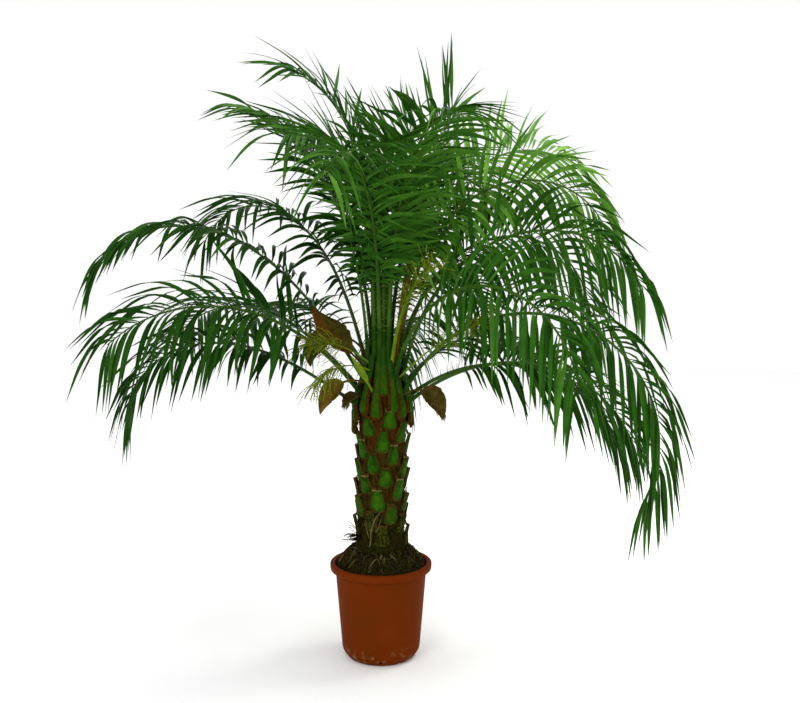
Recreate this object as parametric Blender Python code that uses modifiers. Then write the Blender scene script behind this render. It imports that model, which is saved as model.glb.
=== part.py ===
"""Pygmy date palm (Phoenix roebelenii) in a round plastic nursery pot.

Metres, +Z up. The origin is the middle of the pot's flat underside, -Y is the front.
The crown's head is a cone on top of the trunk: fronds, flower stalks and bracts are
seated on it, each just clear of it. A frond is a three-sided rib that bends over in a
vertical plane, with two rows of folded leaflets sunk into it. Long bowed fronds are
made as a base and a tip, parted at the bend.
"""

import math
import random
from collections import namedtuple

import bmesh
import bpy
from mathutils import Matrix, Vector
from mathutils.bvhtree import BVHTree

# ---------------------------------------------------------------- driving dimensions
GAP = 0.0003  # between pieces that touch
SEAT_GAP = 0.0004  # level, between the sloping head and a stem
SEED = 12
UP = Vector((0, 0, 1))
SHARP_ANGLE = math.radians(40)  # edges sharper than this stay crisp

POT_HEIGHT = 0.300
POT_RIM_RADIUS = 0.160
POT_LIP_HEIGHT = 0.022
POT_TOP_RADIUS = 0.1430  # outside, just under the lip
POT_BASE_RADIUS = 0.1220  # outside, just over the rounded foot
POT_FOOT_RADIUS = 0.104  # edge of the flat underside
POT_FOOT_HEIGHT = 0.022
POT_WALL = 0.003
POT_FLOOR = 0.005
POT_STEPS = 26
LIP_ROLL = 0.004  # bevel of the lip's edges
LIP_TAPER = 0.001
LIP_NECK = 0.003  # the wall starts this far under the lip
DRAIN_HOLES = 6
DRAIN_RADIUS = 0.006
DRAIN_DEPTH = 0.060

SOIL_EDGE_HEIGHT = 0.290
SOIL_TOP_HEIGHT = 0.345
SOIL_TOP_RADIUS = 0.090
SOIL_RINGS = 3
SOIL_SWELL = 1.2  # over 1: the mound falls more steeply near the rim

TRUNK_RADIUS = 0.072  # under the leaf bases
TRUNK_FLARE_RADIUS = 0.088
# the root flare's outline: height over the soil, radius
TRUNK_FLARE = ((0.150, TRUNK_RADIUS), (0.060, TRUNK_RADIUS + 0.003), (0, TRUNK_FLARE_RADIUS))
TRUNK_NECK = 0.030  # where the trunk swells into the head
TRUNK_LEAN = 0.006  # sideways shift from foot to head
TRUNK_STEPS = 18
HEAD_HEIGHT = 0.800  # where the trunk ends and the crown's cone starts
HEAD_RADIUS = 0.074
HEAD_TOP_HEIGHT = 1.030
HEAD_TOP_RADIUS = 0.018
HEAD_SLOPE = (HEAD_RADIUS - HEAD_TOP_RADIUS) / (HEAD_TOP_HEIGHT - HEAD_HEIGHT)

BOOT_COUNT = 45  # stubs of old leaf bases up the trunk
BOOT_TURN = math.radians(137.5)
BOOT_FIRST_HEIGHT = 0.382
BOOT_LAST_HEIGHT = 0.757
BOOT_WIDTH = 0.050
BOOT_TIP_WIDTH = 0.030
BOOT_LENGTH = 0.062
BOOT_STAND = 0.016  # how far the cut tip stands off the trunk
BOOT_FOOT_STAND = 0.003
BOOT_CUT_DROP = 0.08  # of its length: the cut tip slopes outward and down

PETIOLE_WIDTH = 0.022
RIB_TIP_WIDTH = 0.005
RIB_TAPER = 0.8
RIB_DEPTH = 1.2  # of its half width
RIB_STATIONS = 9
ARC_STEPS = 8  # finer steps between two stations of a stem
SPLIT_SHARE = 0.52  # where a bowed frond is parted
SPLIT_GAP = 0.0006  # along the rib, between a frond's base and its tip

BLADE_START = 0.24  # share of the rib that is bare petiole
LEAFLET_PAIRS = 9
LEAFLET_SHORTEST = 0.45  # of the longest
LEAFLET_YOUNG = 0.55  # at the blade's foot, of what the swell gives
LEAFLET_GROWN = 0.15  # share of the blade where leaflets have their full length
LEAFLET_PHASE = (0.12, 0.82)  # half turns of a sine, from the blade's foot to its tip
LEAFLET_SPREAD = (72, 30)  # degrees off the rib, from the blade's foot to its tip
LEAFLET_SPREAD_VARIES = 4
LEAFLET_LENGTH_VARIES = (0.92, 1.06)
LEAFLET_LIFT = math.radians(18)  # rows rise over the rib in a shallow V
LEAFLET_STEEP_HANG = 0.75  # leaflets that point up hang less
LEAFLET_INNER_HANG = 0.2
LEAFLET_WIDTH = 0.032
LEAFLET_NARROWING = 0.3  # from the blade's foot to its tip
LEAFLET_SHORT_WIDTH = 0.6  # a shortened leaflet keeps this much of its width
LEAFLET_ROOT_WIDTH = 0.4
LEAFLET_ROOT_SINK = 0.65  # of the rib's depth
LAST_ROOT = 0.985  # a leaflet's root is kept this far from a rib's end
LEAFLET_BEND = 0.42  # where a leaflet's middle ring lies
LEAFLET_DEPTH = 0.28  # of its half width
SHOOT_CLEARANCE = 0.0008
# changes of length and droop that are tried in turn where a shoot meets another piece
SHOOT_TRIALS = ((1, 0), (1, 0.6), (0.9, -0.4), (0.8, 0.3), (0.65, 0), (0.5, 0.3), (0.4, 0))

STALK_BOW = 1.2
STALK_STATIONS = 6
STALK_WIDTH = 0.012
STALK_TAPER = 0.6
STALK_DEPTH = 0.8  # of its half width
STRAND_START = 0.45  # shares of the stalk that bear strands
STRAND_END = 0.97
STRAND_SPREAD = (25, 60)  # degrees off the stalk
STRAND_VARIES = (0.7, 1.1)
STRAND_BEND = 0.45
STRAND_ROOT_SINK = 0.4
STRAND_WIDTH = 0.005
STRAND_DEPTH = 1.4  # of its half width
BRACT_NECK_WIDTH = 0.012
BRACT_NECK_TAPER = 0.7
BRACT_STAND = 0.23  # of its neck: how far its edges rise over its line
BRACT_BELLY = 0.75  # under 1: the widest place is nearer the neck
BRACT_TAPER = 0.15
BRACT_STATIONS = 6
BRACT_CURL = math.radians(150)  # of a circle, the section's arc
BRACT_WALL = 0.10  # of its half width

Frond = namedtuple("Frond", "name azimuth seat launch tip bow length leaflet roll droop parts")

# azimuth: 0 is +X, 90 the back, 270 the front; seat: height on the head; launch and
# tip: the rib's slope at its ends, in degrees; bow: how late it bends; length: along
# the rib; leaflet: length of its longest leaflets; roll: turn of the blade about its
# rib; droop: how far leaflets hang; parts: 2 where it is parted
FRONDS = (
    Frond("left_low", 192, 0.800, 35, -90, 2.35, 0.84, 0.24, 23, 1.1, 2),
    Frond("left_front", 200, 0.835, 51, -43, 1.45, 0.87, 0.28, 43, 1.5, 2),
    Frond("left_mid", 182, 0.880, 57, -69, 2.25, 1.09, 0.21, 8, 1.1, 2),
    Frond("left_back", 152, 0.900, 73, -64, 2.15, 0.98, 0.23, -3, 1.1, 2),
    Frond("left_high", 192, 0.935, 85, 20, 2.05, 0.87, 0.27, 6, 1.0, 1),
    Frond("left_high_b", 146, 0.945, 86, 36, 1.35, 0.82, 0.25, 2, 1.1, 2),
    Frond("left_top", 165, 0.985, 89, 18, 3.10, 0.94, 0.25, -2, 0.9, 1),
    Frond("left_over", 227, 0.960, 89, -24, 2.80, 0.84, 0.27, 26, 0.9, 1),
    Frond("left_rear", 116, 0.970, 86, -18, 2.40, 0.86, 0.27, -14, 0.8, 1),
    Frond("front_left", 256, 0.945, 88, -53, 2.10, 0.94, 0.26, 12, 0.7, 1),
    Frond("front_mid", 272, 0.985, 88, -16, 2.50, 0.76, 0.26, 24, 0.1, 1),
    Frond("front_right", 294, 0.950, 86, -22, 2.20, 0.96, 0.28, 0, 0.9, 1),
    Frond("top_mid", 75, 0.985, 89, 37, 1.20, 0.82, 0.27, -32, 0.3, 1),
    Frond("top_young", 25, 0.960, 82, 66, 1.20, 0.80, 0.29, 60, 0.2, 1),
    Frond("right_upper", 39, 0.920, 84, -28, 1.33, 1.29, 0.27, -42, 0.7, 2),
    Frond("right_high", 6, 0.925, 83, -74, 1.80, 1.10, 0.25, -60, 1.4, 2),
    Frond("right_wide", 18, 0.885, 82, -100, 1.45, 1.10, 0.30, -60, 1.1, 2),
    Frond("right_mid", 352, 0.880, 76, -66, 1.50, 1.04, 0.27, -54, 2.0, 2),
    Frond("right_bow", 337, 0.840, 59, -116, 1.20, 1.23, 0.27, -30, 1.8, 2),
    Frond("right_low", 358, 0.805, 39, -70, 1.20, 0.84, 0.27, -28, 0.9, 2),
    Frond("right_low_b", 16, 0.815, 37, -68, 1.00, 0.90, 0.27, -28, 1.4, 2),
    Frond("right_front", 314, 0.893, 73, -76, 1.10, 0.93, 0.27, -54, 1.5, 1),
    Frond("right_short", 41, 0.840, 39, -60, 1.50, 0.72, 0.25, -18, 0.6, 1),
    Frond("back_right", 62, 0.870, 61, -70, 1.50, 0.96, 0.27, 22, 0.5, 2),
    Frond("back_mid", 85, 0.845, 50, -76, 1.10, 0.88, 0.29, 18, 1.9, 1),
    Frond("back_left", 130, 0.865, 54, -49, 1.00, 0.98, 0.21, 2, 1.0, 2),
    Frond("back_high", 97, 0.930, 80, -16, 1.80, 0.98, 0.27, 10, 0.8, 1),
    Frond("back_high_b", 66, 0.930, 80, -37, 1.60, 1.18, 0.29, 16, 1.5, 2),
    Frond("back_low", 145, 0.825, 42, -52, 1.60, 1.02, 0.29, -13, 1.0, 1),
)

Bract = namedtuple("Bract", "name azimuth seat launch tip length width neck roll")

# dry or green boat-shaped bracts; neck: share of the length that is a thin stalk
BRACTS = (
    Bract("spathe_large", 197, 0.905, 47, 52, 0.270, 0.080, 0.28, 150),
    Bract("spathe_behind", 171, 0.928, 72, -100, 0.285, 0.074, 0.50, 90),
    Bract("spathe_hanging", 214, 0.868, 22, -85, 0.215, 0.056, 0.40, 90),
    Bract("spathe_ragged", 210, 0.824, 30, -85, 0.085, 0.034, 0.20, 50),
    Bract("spathe_right", 326, 0.826, 40, -96, 0.205, 0.060, 0.40, -80),
    Bract("spathe_green", 244, 0.842, 44, 40, 0.185, 0.020, 0.30, 0),
    Bract("spathe_upright", 327, 0.925, 80, 82, 0.330, 0.026, 0.30, 0),
)

Flower = namedtuple("Flower", "name azimuth seat launch tip length strands strand droop")

# flower stalks: a flat stem with a brush of thin strands along its outer part
FLOWERS = (
    Flower("flowers_left", 214, 0.925, 40, -8, 0.250, 7, 0.085, 0.3),
    Flower("flowers_hanging", 228, 0.905, 26, -60, 0.265, 7, 0.100, 1.1),
    Flower("flowers_centre", 303, 0.905, 82, 24, 0.420, 7, 0.080, 0.0),
    Flower("flowers_right", 326, 0.880, 44, 18, 0.360, 7, 0.090, 0.3),
)

SPEAR_LENGTH = 0.560
SPEAR_WIDTH = 0.014
SPEAR_DEPTH = 1.4  # of its half width
SPEAR_TAPER = (1.0, 0.9, 0.6, 0.15)

# colour, roughness
FINISHES = {
    "terracotta_plastic": ((0.155, 0.026, 0.008), 0.45),
    "potting_soil": ((0.018, 0.012, 0.007), 0.95),
    "fibrous_trunk": ((0.060, 0.035, 0.015), 0.85),
    "frond_green": ((0.020, 0.090, 0.012), 0.45),
    "dry_bract": ((0.085, 0.042, 0.015), 0.70),
    "flower_strands": ((0.160, 0.200, 0.020), 0.60),
}


# ---------------------------------------------------------------- general helpers
def clear_scene():
    for thing in list(bpy.data.objects):
        bpy.data.objects.remove(thing, do_unlink=True)


def collection(name):
    made = bpy.data.collections.new(name)
    bpy.context.scene.collection.children.link(made)
    return made


def material(name):
    found = bpy.data.materials.get(name)
    if found:
        return found
    colour, roughness = FINISHES[name]
    made = bpy.data.materials.new(name)
    made.use_nodes = True
    shader = made.node_tree.nodes["Principled BSDF"]
    shader.inputs["Base Color"].default_value = (*colour, 1)
    shader.inputs["Roughness"].default_value = roughness
    shader.inputs["Metallic"].default_value = 0
    return made


def add_object(name, mesh, home, finish):
    made = bpy.data.objects.new(name, mesh)
    home.objects.link(made)
    mesh.materials.append(material(finish))
    return made


def face_out(bm):
    if bm.calc_volume(signed=True) < 0:
        bmesh.ops.reverse_faces(bm, faces=bm.faces)


def mesh_from(bm, name):
    face_out(bm)
    mesh = bpy.data.meshes.new(name)
    bm.to_mesh(mesh)
    bm.free()
    return mesh


def turned(name, profile, steps, home, finish):
    """A closed profile in the XZ plane, turned round the Z axis."""
    mesh = bpy.data.meshes.new(name)
    edges = [(i, i + 1) for i in range(len(profile) - 1)]
    mesh.from_pydata([(r, 0, z) for r, z in profile], edges, [])
    made = add_object(name, mesh, home, finish)
    screw = made.modifiers.new("turn", "SCREW")
    screw.steps = steps
    screw.render_steps = steps
    screw.use_merge_vertices = True
    screw.merge_threshold = 0.0001
    return made


def applied(thing):
    """Replace an object's mesh by its evaluated mesh, with no modifiers left."""
    graph = bpy.context.evaluated_depsgraph_get()
    mesh = bpy.data.meshes.new_from_object(thing.evaluated_get(graph))
    thing.modifiers.clear()
    old = thing.data
    thing.data = mesh
    bpy.data.meshes.remove(old)
    return thing


def joined(thing, pieces, solver="EXACT"):
    """Fuse a collection of pieces onto an object and remove them."""
    union = thing.modifiers.new("join", "BOOLEAN")
    union.operation = "UNION"
    union.operand_type = "COLLECTION"
    union.collection = pieces
    union.solver = solver
    applied(thing)
    for piece in list(pieces.objects):
        bpy.data.objects.remove(piece, do_unlink=True)
    bpy.data.collections.remove(pieces)
    return thing


def one_body(thing):
    """Keep the largest body: fill hollows that fusing sealed, and drop loose scraps."""
    bm = bmesh.new()
    bm.from_mesh(thing.data)
    unseen = set(bm.verts)
    bodies = []
    while unseen:
        body, edge = set(), [unseen.pop()]
        while edge:
            vert = edge.pop()
            body.add(vert)
            near = {e.other_vert(vert) for e in vert.link_edges} & unseen
            unseen -= near
            edge.extend(near)
        bodies.append(body)
    bodies.sort(key=len)
    for body in bodies[:-1]:
        bmesh.ops.delete(bm, geom=list(body), context="VERTS")
    bm.to_mesh(thing.data)
    bm.free()


def shaded(thing):
    thing.data.shade_smooth()
    thing.data.set_sharp_from_angle(angle=SHARP_ANGLE)


def head_reach(height, turn):
    """How far the head's faceted cone stands out in a direction at a height."""
    radius = HEAD_RADIUS - HEAD_SLOPE * max(0.0, height - HEAD_HEIGHT)
    facet = math.tau / TRUNK_STEPS
    return radius * math.cos((turn + facet / 2) % facet - facet / 2)


def lean(height):
    """The trunk's sideways shift at a height."""
    return TRUNK_LEAN * (height - SOIL_TOP_HEIGHT) / (HEAD_HEIGHT - SOIL_TOP_HEIGHT)


# ---------------------------------------------------------------- swept forms
Station = namedtuple("Station", "point along across up")

KEEL = ((0, -1), (1, 0), (-1, 0))  # a three-sided section: two edges and a keel


def crescent(points):
    """A thin curved section, open upward, as (across, up) shares of half its width."""
    turns = [BRACT_CURL * (i / (points - 1) - 0.5) for i in range(points)]
    hollow = 1 - BRACT_WALL
    rise = (1 + math.cos(BRACT_CURL / 2)) / 2
    outer = [(math.sin(t), rise - math.cos(t)) for t in turns]
    inner = [(hollow * math.sin(t), rise + BRACT_WALL - hollow * math.cos(t)) for t in turns]
    return tuple(outer + inner[::-1])


def arc_path(seat, azimuth, launch, tip, bow, length, stand, count):
    """Stations on a stem that leaves the head at a seat and bends in a vertical plane.
    stand: how far the stem's section rises over its line."""
    turn = math.radians(azimuth)
    outward = Vector((math.cos(turn), math.sin(turn), 0))
    across = Vector((math.sin(turn), -math.cos(turn), 0))
    tilt = math.radians(launch)
    rise = stand * (math.sin(tilt) - HEAD_SLOPE * math.cos(tilt))
    reach = head_reach(seat, turn) + SEAT_GAP + rise
    point = outward * reach + UP * seat + Vector((lean(seat), 0, 0))
    steps = ARC_STEPS * (count - 1)
    stations = []
    for i in range(steps + 1):
        slope = math.radians(launch + (tip - launch) * (i / steps) ** bow)
        along = outward * math.cos(slope) + UP * math.sin(slope)
        if i % ARC_STEPS == 0:
            stations.append(Station(point.copy(), along, across, across.cross(along)))
        middle = math.radians(launch + (tip - launch) * ((i + 0.5) / steps) ** bow)
        point = point + (outward * math.cos(middle) + UP * math.sin(middle)) * length / steps
    return stations


def rolled(station, angle):
    """The station turned about its own direction."""
    spin = Matrix.Rotation(angle, 3, station.along)
    return Station(station.point, station.along, spin @ station.across, spin @ station.up)


def between(stations, share):
    """The station at a share of the path's length."""
    place = min(max(share, 0.0), 1.0) * (len(stations) - 1)
    low = min(int(place), len(stations) - 2)
    part = place - low
    blend = [a.lerp(b, part) for a, b in zip(stations[low], stations[low + 1])]
    return Station(blend[0], *(v.normalized() for v in blend[1:]))


def sweep(bm, stations, section, widths, depth, swell=0.0):
    """Lay a section along stations; depth is its height as a share of its half width.
    It ends in a point where the last width is 0."""
    sides = len(section)
    rings = len(stations)
    point_radius = 1 if widths[-1] else 0
    piece = bmesh.new()
    bmesh.ops.create_cone(
        piece, cap_ends=True, segments=sides, radius1=1, radius2=point_radius, depth=rings - 1
    )
    if rings > 2:
        long_edges = [e for e in piece.edges if e.verts[0].co.z * e.verts[1].co.z < 0]
        bmesh.ops.subdivide_edges(piece, edges=long_edges, cuts=rings - 2)
    for vert in piece.verts:
        station = stations[round(vert.co.z + (rings - 1) / 2)]
        half = widths[round(vert.co.z + (rings - 1) / 2)] / 2
        corner = round(math.atan2(vert.co.x, vert.co.y) / math.tau * sides) % sides
        a, u = section[corner]
        across = a * half + math.copysign(swell, a) * (abs(a) > 0.5)
        up = u * half * depth + (swell if u >= 0 else -2 * swell)
        vert.co = station.point + station.across * across + station.up * up
        if not half:
            vert.co = station.point + station.along * 2 * swell
    bmesh.ops.triangulate(piece, faces=piece.faces)
    face_out(piece)
    mesh = bpy.data.meshes.new("piece")
    piece.to_mesh(mesh)
    piece.free()
    bm.from_mesh(mesh)
    bpy.data.meshes.remove(mesh)


# ---------------------------------------------------------------- pot, soil and trunk
def pot_outer(height):
    share = (height - POT_FOOT_HEIGHT) / (POT_HEIGHT - POT_LIP_HEIGHT - POT_FOOT_HEIGHT)
    return POT_BASE_RADIUS + (POT_TOP_RADIUS - POT_BASE_RADIUS) * share


def inner_wall(clear):
    """The hollow of the pot from its floor up to under the lip, moved in by a gap."""
    top = POT_HEIGHT - POT_LIP_HEIGHT
    foot = POT_FOOT_HEIGHT + POT_FLOOR
    return (
        (POT_FOOT_RADIUS - clear, POT_FLOOR + clear),
        (pot_outer(foot) - POT_WALL - clear, foot),
        (pot_outer(top) - POT_WALL - clear, top),
    )


def make_pot(home, cutters):
    top = POT_HEIGHT - POT_LIP_HEIGHT
    lip_inner = pot_outer(top) - POT_WALL + LIP_ROLL
    profile = [
        (0, POT_FLOOR),
        *inner_wall(0),
        (lip_inner, POT_HEIGHT - LIP_ROLL),
        (lip_inner + LIP_ROLL, POT_HEIGHT),
        (POT_RIM_RADIUS - LIP_ROLL, POT_HEIGHT),
        (POT_RIM_RADIUS, POT_HEIGHT - LIP_ROLL),
        (POT_RIM_RADIUS - LIP_TAPER, top + LIP_ROLL),
        (POT_RIM_RADIUS - LIP_ROLL, top),
        (POT_TOP_RADIUS, top - LIP_NECK),
        (POT_BASE_RADIUS, POT_FOOT_HEIGHT),
        (POT_FOOT_RADIUS, 0),
        (0, 0),
    ]
    pot = turned("pot", profile, POT_STEPS, home, "terracotta_plastic")
    for i in range(DRAIN_HOLES):
        turn = math.tau * (i + 0.5) / DRAIN_HOLES
        bpy.ops.mesh.primitive_cylinder_add(vertices=6, radius=DRAIN_RADIUS, depth=DRAIN_DEPTH)
        hole = bpy.context.object
        hole.name = f"drain_hole_{i + 1}"
        middle = (POT_FOOT_RADIUS + POT_BASE_RADIUS) / 2
        hole.location = (middle * math.cos(turn), middle * math.sin(turn), 0)
        for owner in list(hole.users_collection):
            owner.objects.unlink(hole)
        cutters.objects.link(hole)
        hole.hide_render = True
        hole.display_type = "WIRE"
    cut = pot.modifiers.new("drain holes", "BOOLEAN")
    cut.operation = "DIFFERENCE"
    cut.operand_type = "COLLECTION"
    cut.collection = cutters
    cut.solver = "EXACT"
    return pot


def make_soil(home):
    foot, shoulder, top = inner_wall(GAP)
    edge = shoulder[0] + (top[0] - shoulder[0]) * (SOIL_EDGE_HEIGHT - shoulder[1]) / (
        top[1] - shoulder[1]
    )
    mound = []
    for i in range(SOIL_RINGS + 1):
        share = i / SOIL_RINGS
        fall = share**SOIL_SWELL
        radius = SOIL_TOP_RADIUS + (edge - SOIL_TOP_RADIUS) * share
        mound.append((radius, SOIL_TOP_HEIGHT + (SOIL_EDGE_HEIGHT - SOIL_TOP_HEIGHT) * fall))
    profile = [(0, SOIL_TOP_HEIGHT), *mound, shoulder, foot, (0, POT_FLOOR + GAP)]
    return turned("soil", profile, POT_STEPS, home, "potting_soil")


def leaned(thing):
    for vert in thing.data.vertices:
        vert.co.x += lean(vert.co.z)


def add_boot(pieces, number):
    """A stub of an old leaf base: a wedge that stands off the trunk at its cut top."""
    share = number / (BOOT_COUNT - 1)
    height = BOOT_FIRST_HEIGHT + (BOOT_LAST_HEIGHT - BOOT_FIRST_HEIGHT) * share
    turn = number * BOOT_TURN
    out = Vector((math.cos(turn), math.sin(turn), 0))
    side = Vector((-math.sin(turn), math.cos(turn), 0))
    bm = bmesh.new()
    bmesh.ops.create_cube(bm, size=1)
    for vert in bm.verts:
        upper = vert.co.z > 0
        width = BOOT_TIP_WIDTH if upper else BOOT_WIDTH
        stand = BOOT_STAND if upper else BOOT_FOOT_STAND
        depth = TRUNK_RADIUS + (stand if vert.co.x > 0 else -BOOT_STAND)
        rise = height + BOOT_LENGTH * vert.co.z
        if upper and vert.co.x > 0:
            rise -= BOOT_LENGTH * BOOT_CUT_DROP
        vert.co = out * depth + side * width * vert.co.y + UP * rise
    boot = bpy.data.objects.new(f"boot_{number + 1}", mesh_from(bm, "boot"))
    pieces.objects.link(boot)


def make_trunk(home):
    foot = SOIL_TOP_HEIGHT + GAP
    profile = [
        (0, HEAD_TOP_HEIGHT),
        (HEAD_TOP_RADIUS, HEAD_TOP_HEIGHT),
        (HEAD_RADIUS, HEAD_HEIGHT),
        (TRUNK_RADIUS, HEAD_HEIGHT - TRUNK_NECK),
        *((radius, foot + height) for height, radius in TRUNK_FLARE),
        (0, foot),
    ]
    trunk = applied(turned("trunk", profile, TRUNK_STEPS, home, "fibrous_trunk"))
    boots = collection("boots")
    for number in range(BOOT_COUNT):
        add_boot(boots, number)
    joined(trunk, boots)
    leaned(trunk)
    return trunk


# ---------------------------------------------------------------- stems on the head
class Piece:
    """A node in the making: its stem, what is fused to it, and its nearness tests."""

    def __init__(self, name, finish):
        self.name = name
        self.finish = finish
        self.stem = bmesh.new()
        self.shoots = []
        self.trees = []

    def close_stem(self):
        self.trees.append(BVHTree.FromBMesh(self.stem))


def tree_of(thing):
    graph = bpy.context.evaluated_depsgraph_get()
    return BVHTree.FromObject(thing, graph)


def touches(piece, shoot, pieces, solids):
    """True where a shoot of one piece would touch any other piece."""
    probe = BVHTree.FromBMesh(shoot)
    if any(probe.overlap(tree) for tree in solids):
        return True
    for other in pieces:
        if other is not piece and any(probe.overlap(tree) for tree in other.trees):
            return True
    return False


def grow(piece, trial, depth, pieces, solids):
    """Try a shoot in several forms and keep the first that touches no other piece."""
    for change in SHOOT_TRIALS:
        stations, widths = trial(change)
        probe = bmesh.new()
        sweep(probe, stations, KEEL, widths, depth, SHOOT_CLEARANCE)
        blocked = touches(piece, probe, pieces, solids)
        if not blocked:
            piece.shoots.append((stations, widths, depth))
            piece.trees.append(BVHTree.FromBMesh(probe))
        probe.free()
        if not blocked:
            return


def finished(piece, home):
    """Fuse a piece's shoots to its stem."""
    stem = add_object(piece.name, mesh_from(piece.stem, piece.name), home, piece.finish)
    if piece.shoots:
        shoots = collection(f"{piece.name} shoots")
        for number, (stations, widths, depth) in enumerate(piece.shoots):
            bm = bmesh.new()
            sweep(bm, stations, KEEL, widths, depth)
            shoot = bpy.data.objects.new(f"shoot_{number + 1}", mesh_from(bm, "shoot"))
            shoots.objects.link(shoot)
        joined(stem, shoots, "MANIFOLD")
        one_body(stem)
    return stem


def frond_rib(frond):
    path = arc_path(
        frond.seat, frond.azimuth, frond.launch, frond.tip, frond.bow,
        frond.length, 0, RIB_STATIONS,
    )
    turned_path = []
    for i, station in enumerate(path):
        share = min(1.0, i / (RIB_STATIONS - 1) / BLADE_START)
        turned_path.append(rolled(station, math.radians(frond.roll) * share))
    return turned_path


def rib_width(share):
    return PETIOLE_WIDTH + (RIB_TIP_WIDTH - PETIOLE_WIDTH) * share**RIB_TAPER


Stretch = namedtuple("Stretch", "piece stations start end")


def frond_pieces(frond):
    """A frond's nodes, each with the stretch of rib that it holds."""
    rib = frond_rib(frond)
    if frond.parts == 1:
        spans = ((f"frond_{frond.name}", 0.0, 1.0),)
    else:
        part = SPLIT_GAP / frond.length / 2
        spans = (
            (f"frond_{frond.name}_base", 0.0, SPLIT_SHARE - part),
            (f"frond_{frond.name}_tip", SPLIT_SHARE + part, 1.0),
        )
    made = []
    for name, start, end in spans:
        count = max(3, round((end - start) * (RIB_STATIONS - 1)) + 1)
        shares = [start + (end - start) * i / (count - 1) for i in range(count)]
        piece = Piece(name, "frond_green")
        stations = [between(rib, share) for share in shares]
        sweep(piece.stem, stations, KEEL, [rib_width(s) for s in shares], RIB_DEPTH)
        piece.close_stem()
        made.append(Stretch(piece, stations, start, end))
    return made


def mixed(ends, share):
    return ends[0] + (ends[1] - ends[0]) * share


def leaflet_reach(frond, share):
    """A leaflet's length along the blade: short at its foot, long, then shorter."""
    swell = math.sin(math.pi * mixed(LEAFLET_PHASE, share))
    young = mixed((LEAFLET_YOUNG, 1), min(1, share / LEAFLET_GROWN))
    return frond.leaflet * mixed((LEAFLET_SHORTEST, 1), swell) * young


def leaflet_trial(frond, stretch, share, side, rng):
    """What a leaflet looks like for each change of length and droop."""
    along_rib = BLADE_START + (1 - BLADE_START) * share
    local = (along_rib - stretch.start) / (stretch.end - stretch.start)
    station = between(stretch.stations, min(local, LAST_ROOT))
    root_width = rib_width(along_rib)
    varies = rng.uniform(-LEAFLET_SPREAD_VARIES, LEAFLET_SPREAD_VARIES)
    spread = math.radians(mixed(LEAFLET_SPREAD, share) + varies)
    length = leaflet_reach(frond, share) * rng.uniform(*LEAFLET_LENGTH_VARIES)
    rise = station.up * math.sin(LEAFLET_LIFT)
    sideways = station.across * side * math.cos(LEAFLET_LIFT) + rise
    first = station.along * math.cos(spread) + sideways * math.sin(spread)
    hang = frond.droop * (1 - LEAFLET_STEEP_HANG * first.z)
    root = station.point - station.up * root_width / 2 * RIB_DEPTH * LEAFLET_ROOT_SINK
    root_width *= min(0.7, 0.3 / math.cos(spread))  # kept within the rib's own width

    def trial(change):
        size, droop = change
        outer = (first - UP * (hang + droop)).normalized()
        inner = (first - UP * LEAFLET_INNER_HANG * hang).normalized()
        middle = root + inner * length * size * LEAFLET_BEND
        tip = middle + outer * length * size * (1 - LEAFLET_BEND)
        bend = (inner + outer).normalized()
        stations = []
        across = -station.along * side
        for point, along in ((root, inner), (middle, bend), (tip, outer)):
            across = (across - along * across.dot(along)).normalized()
            stations.append(Station(point, along, across, across.cross(along)))
        width = LEAFLET_WIDTH * mixed((LEAFLET_SHORT_WIDTH, 1), size)
        width *= 1 - LEAFLET_NARROWING * share
        return stations, (min(LEAFLET_ROOT_WIDTH * width, root_width), width, 0)

    return trial


def strand_trial(stalk, share, flower, rng):
    """What a flower strand looks like for each change of length and droop."""
    station = between(stalk, mixed((STRAND_START, STRAND_END), share))
    turn = rng.uniform(0, math.tau)
    sideways = station.across * math.cos(turn) + station.up * math.sin(turn)
    spread = math.radians(rng.uniform(*STRAND_SPREAD))
    first = station.along * math.cos(spread) + sideways * math.sin(spread)
    length = flower.strand * rng.uniform(*STRAND_VARIES)
    root = station.point - station.up * STRAND_WIDTH * STRAND_ROOT_SINK

    def trial(change):
        size, droop = change
        outer = (first - UP * (flower.droop + droop)).normalized()
        middle = root + first * length * size * STRAND_BEND
        tip = middle + outer * length * size * (1 - STRAND_BEND)
        stations = []
        across = first.orthogonal()
        for point, along in ((root, first), (middle, outer), (tip, outer)):
            across = (across - along * across.dot(along)).normalized()
            stations.append(Station(point, along, across, across.cross(along)))
        return stations, (STRAND_WIDTH, STRAND_WIDTH, 0)

    return trial


def stalk_path(stem, stand, count):
    return arc_path(
        stem.seat, stem.azimuth, stem.launch, stem.tip, STALK_BOW, stem.length, stand, count
    )


def bract_piece(bract):
    """A boat-shaped bract on a thin neck."""
    piece = Piece(bract.name, "dry_bract")
    path = stalk_path(bract, BRACT_NECK_WIDTH * BRACT_STAND, BRACT_STATIONS)
    widths = []
    for i in range(len(path)):
        share = i / (len(path) - 1)
        swell = max(0.0, (share - bract.neck) / (1 - bract.neck))
        belly = math.sin(math.pi * swell**BRACT_BELLY) * (1 - BRACT_TAPER * swell)
        neck = BRACT_NECK_WIDTH * (1 - BRACT_NECK_TAPER * share)
        widths.append(neck + bract.width * belly)
    turn = math.radians(bract.roll) / (BRACT_STATIONS - 1)
    path = [rolled(station, turn * i) for i, station in enumerate(path)]
    sweep(piece.stem, path, crescent(4), widths, 1.0)
    piece.close_stem()
    return piece


def flower_piece(flower):
    piece = Piece(flower.name, "flower_strands")
    path = stalk_path(flower, 0, STALK_STATIONS)
    steps = STALK_STATIONS - 1
    widths = [STALK_WIDTH * (1 - STALK_TAPER * i / steps) for i in range(STALK_STATIONS)]
    sweep(piece.stem, path, KEEL, widths, STALK_DEPTH)
    piece.close_stem()
    return path, piece


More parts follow.
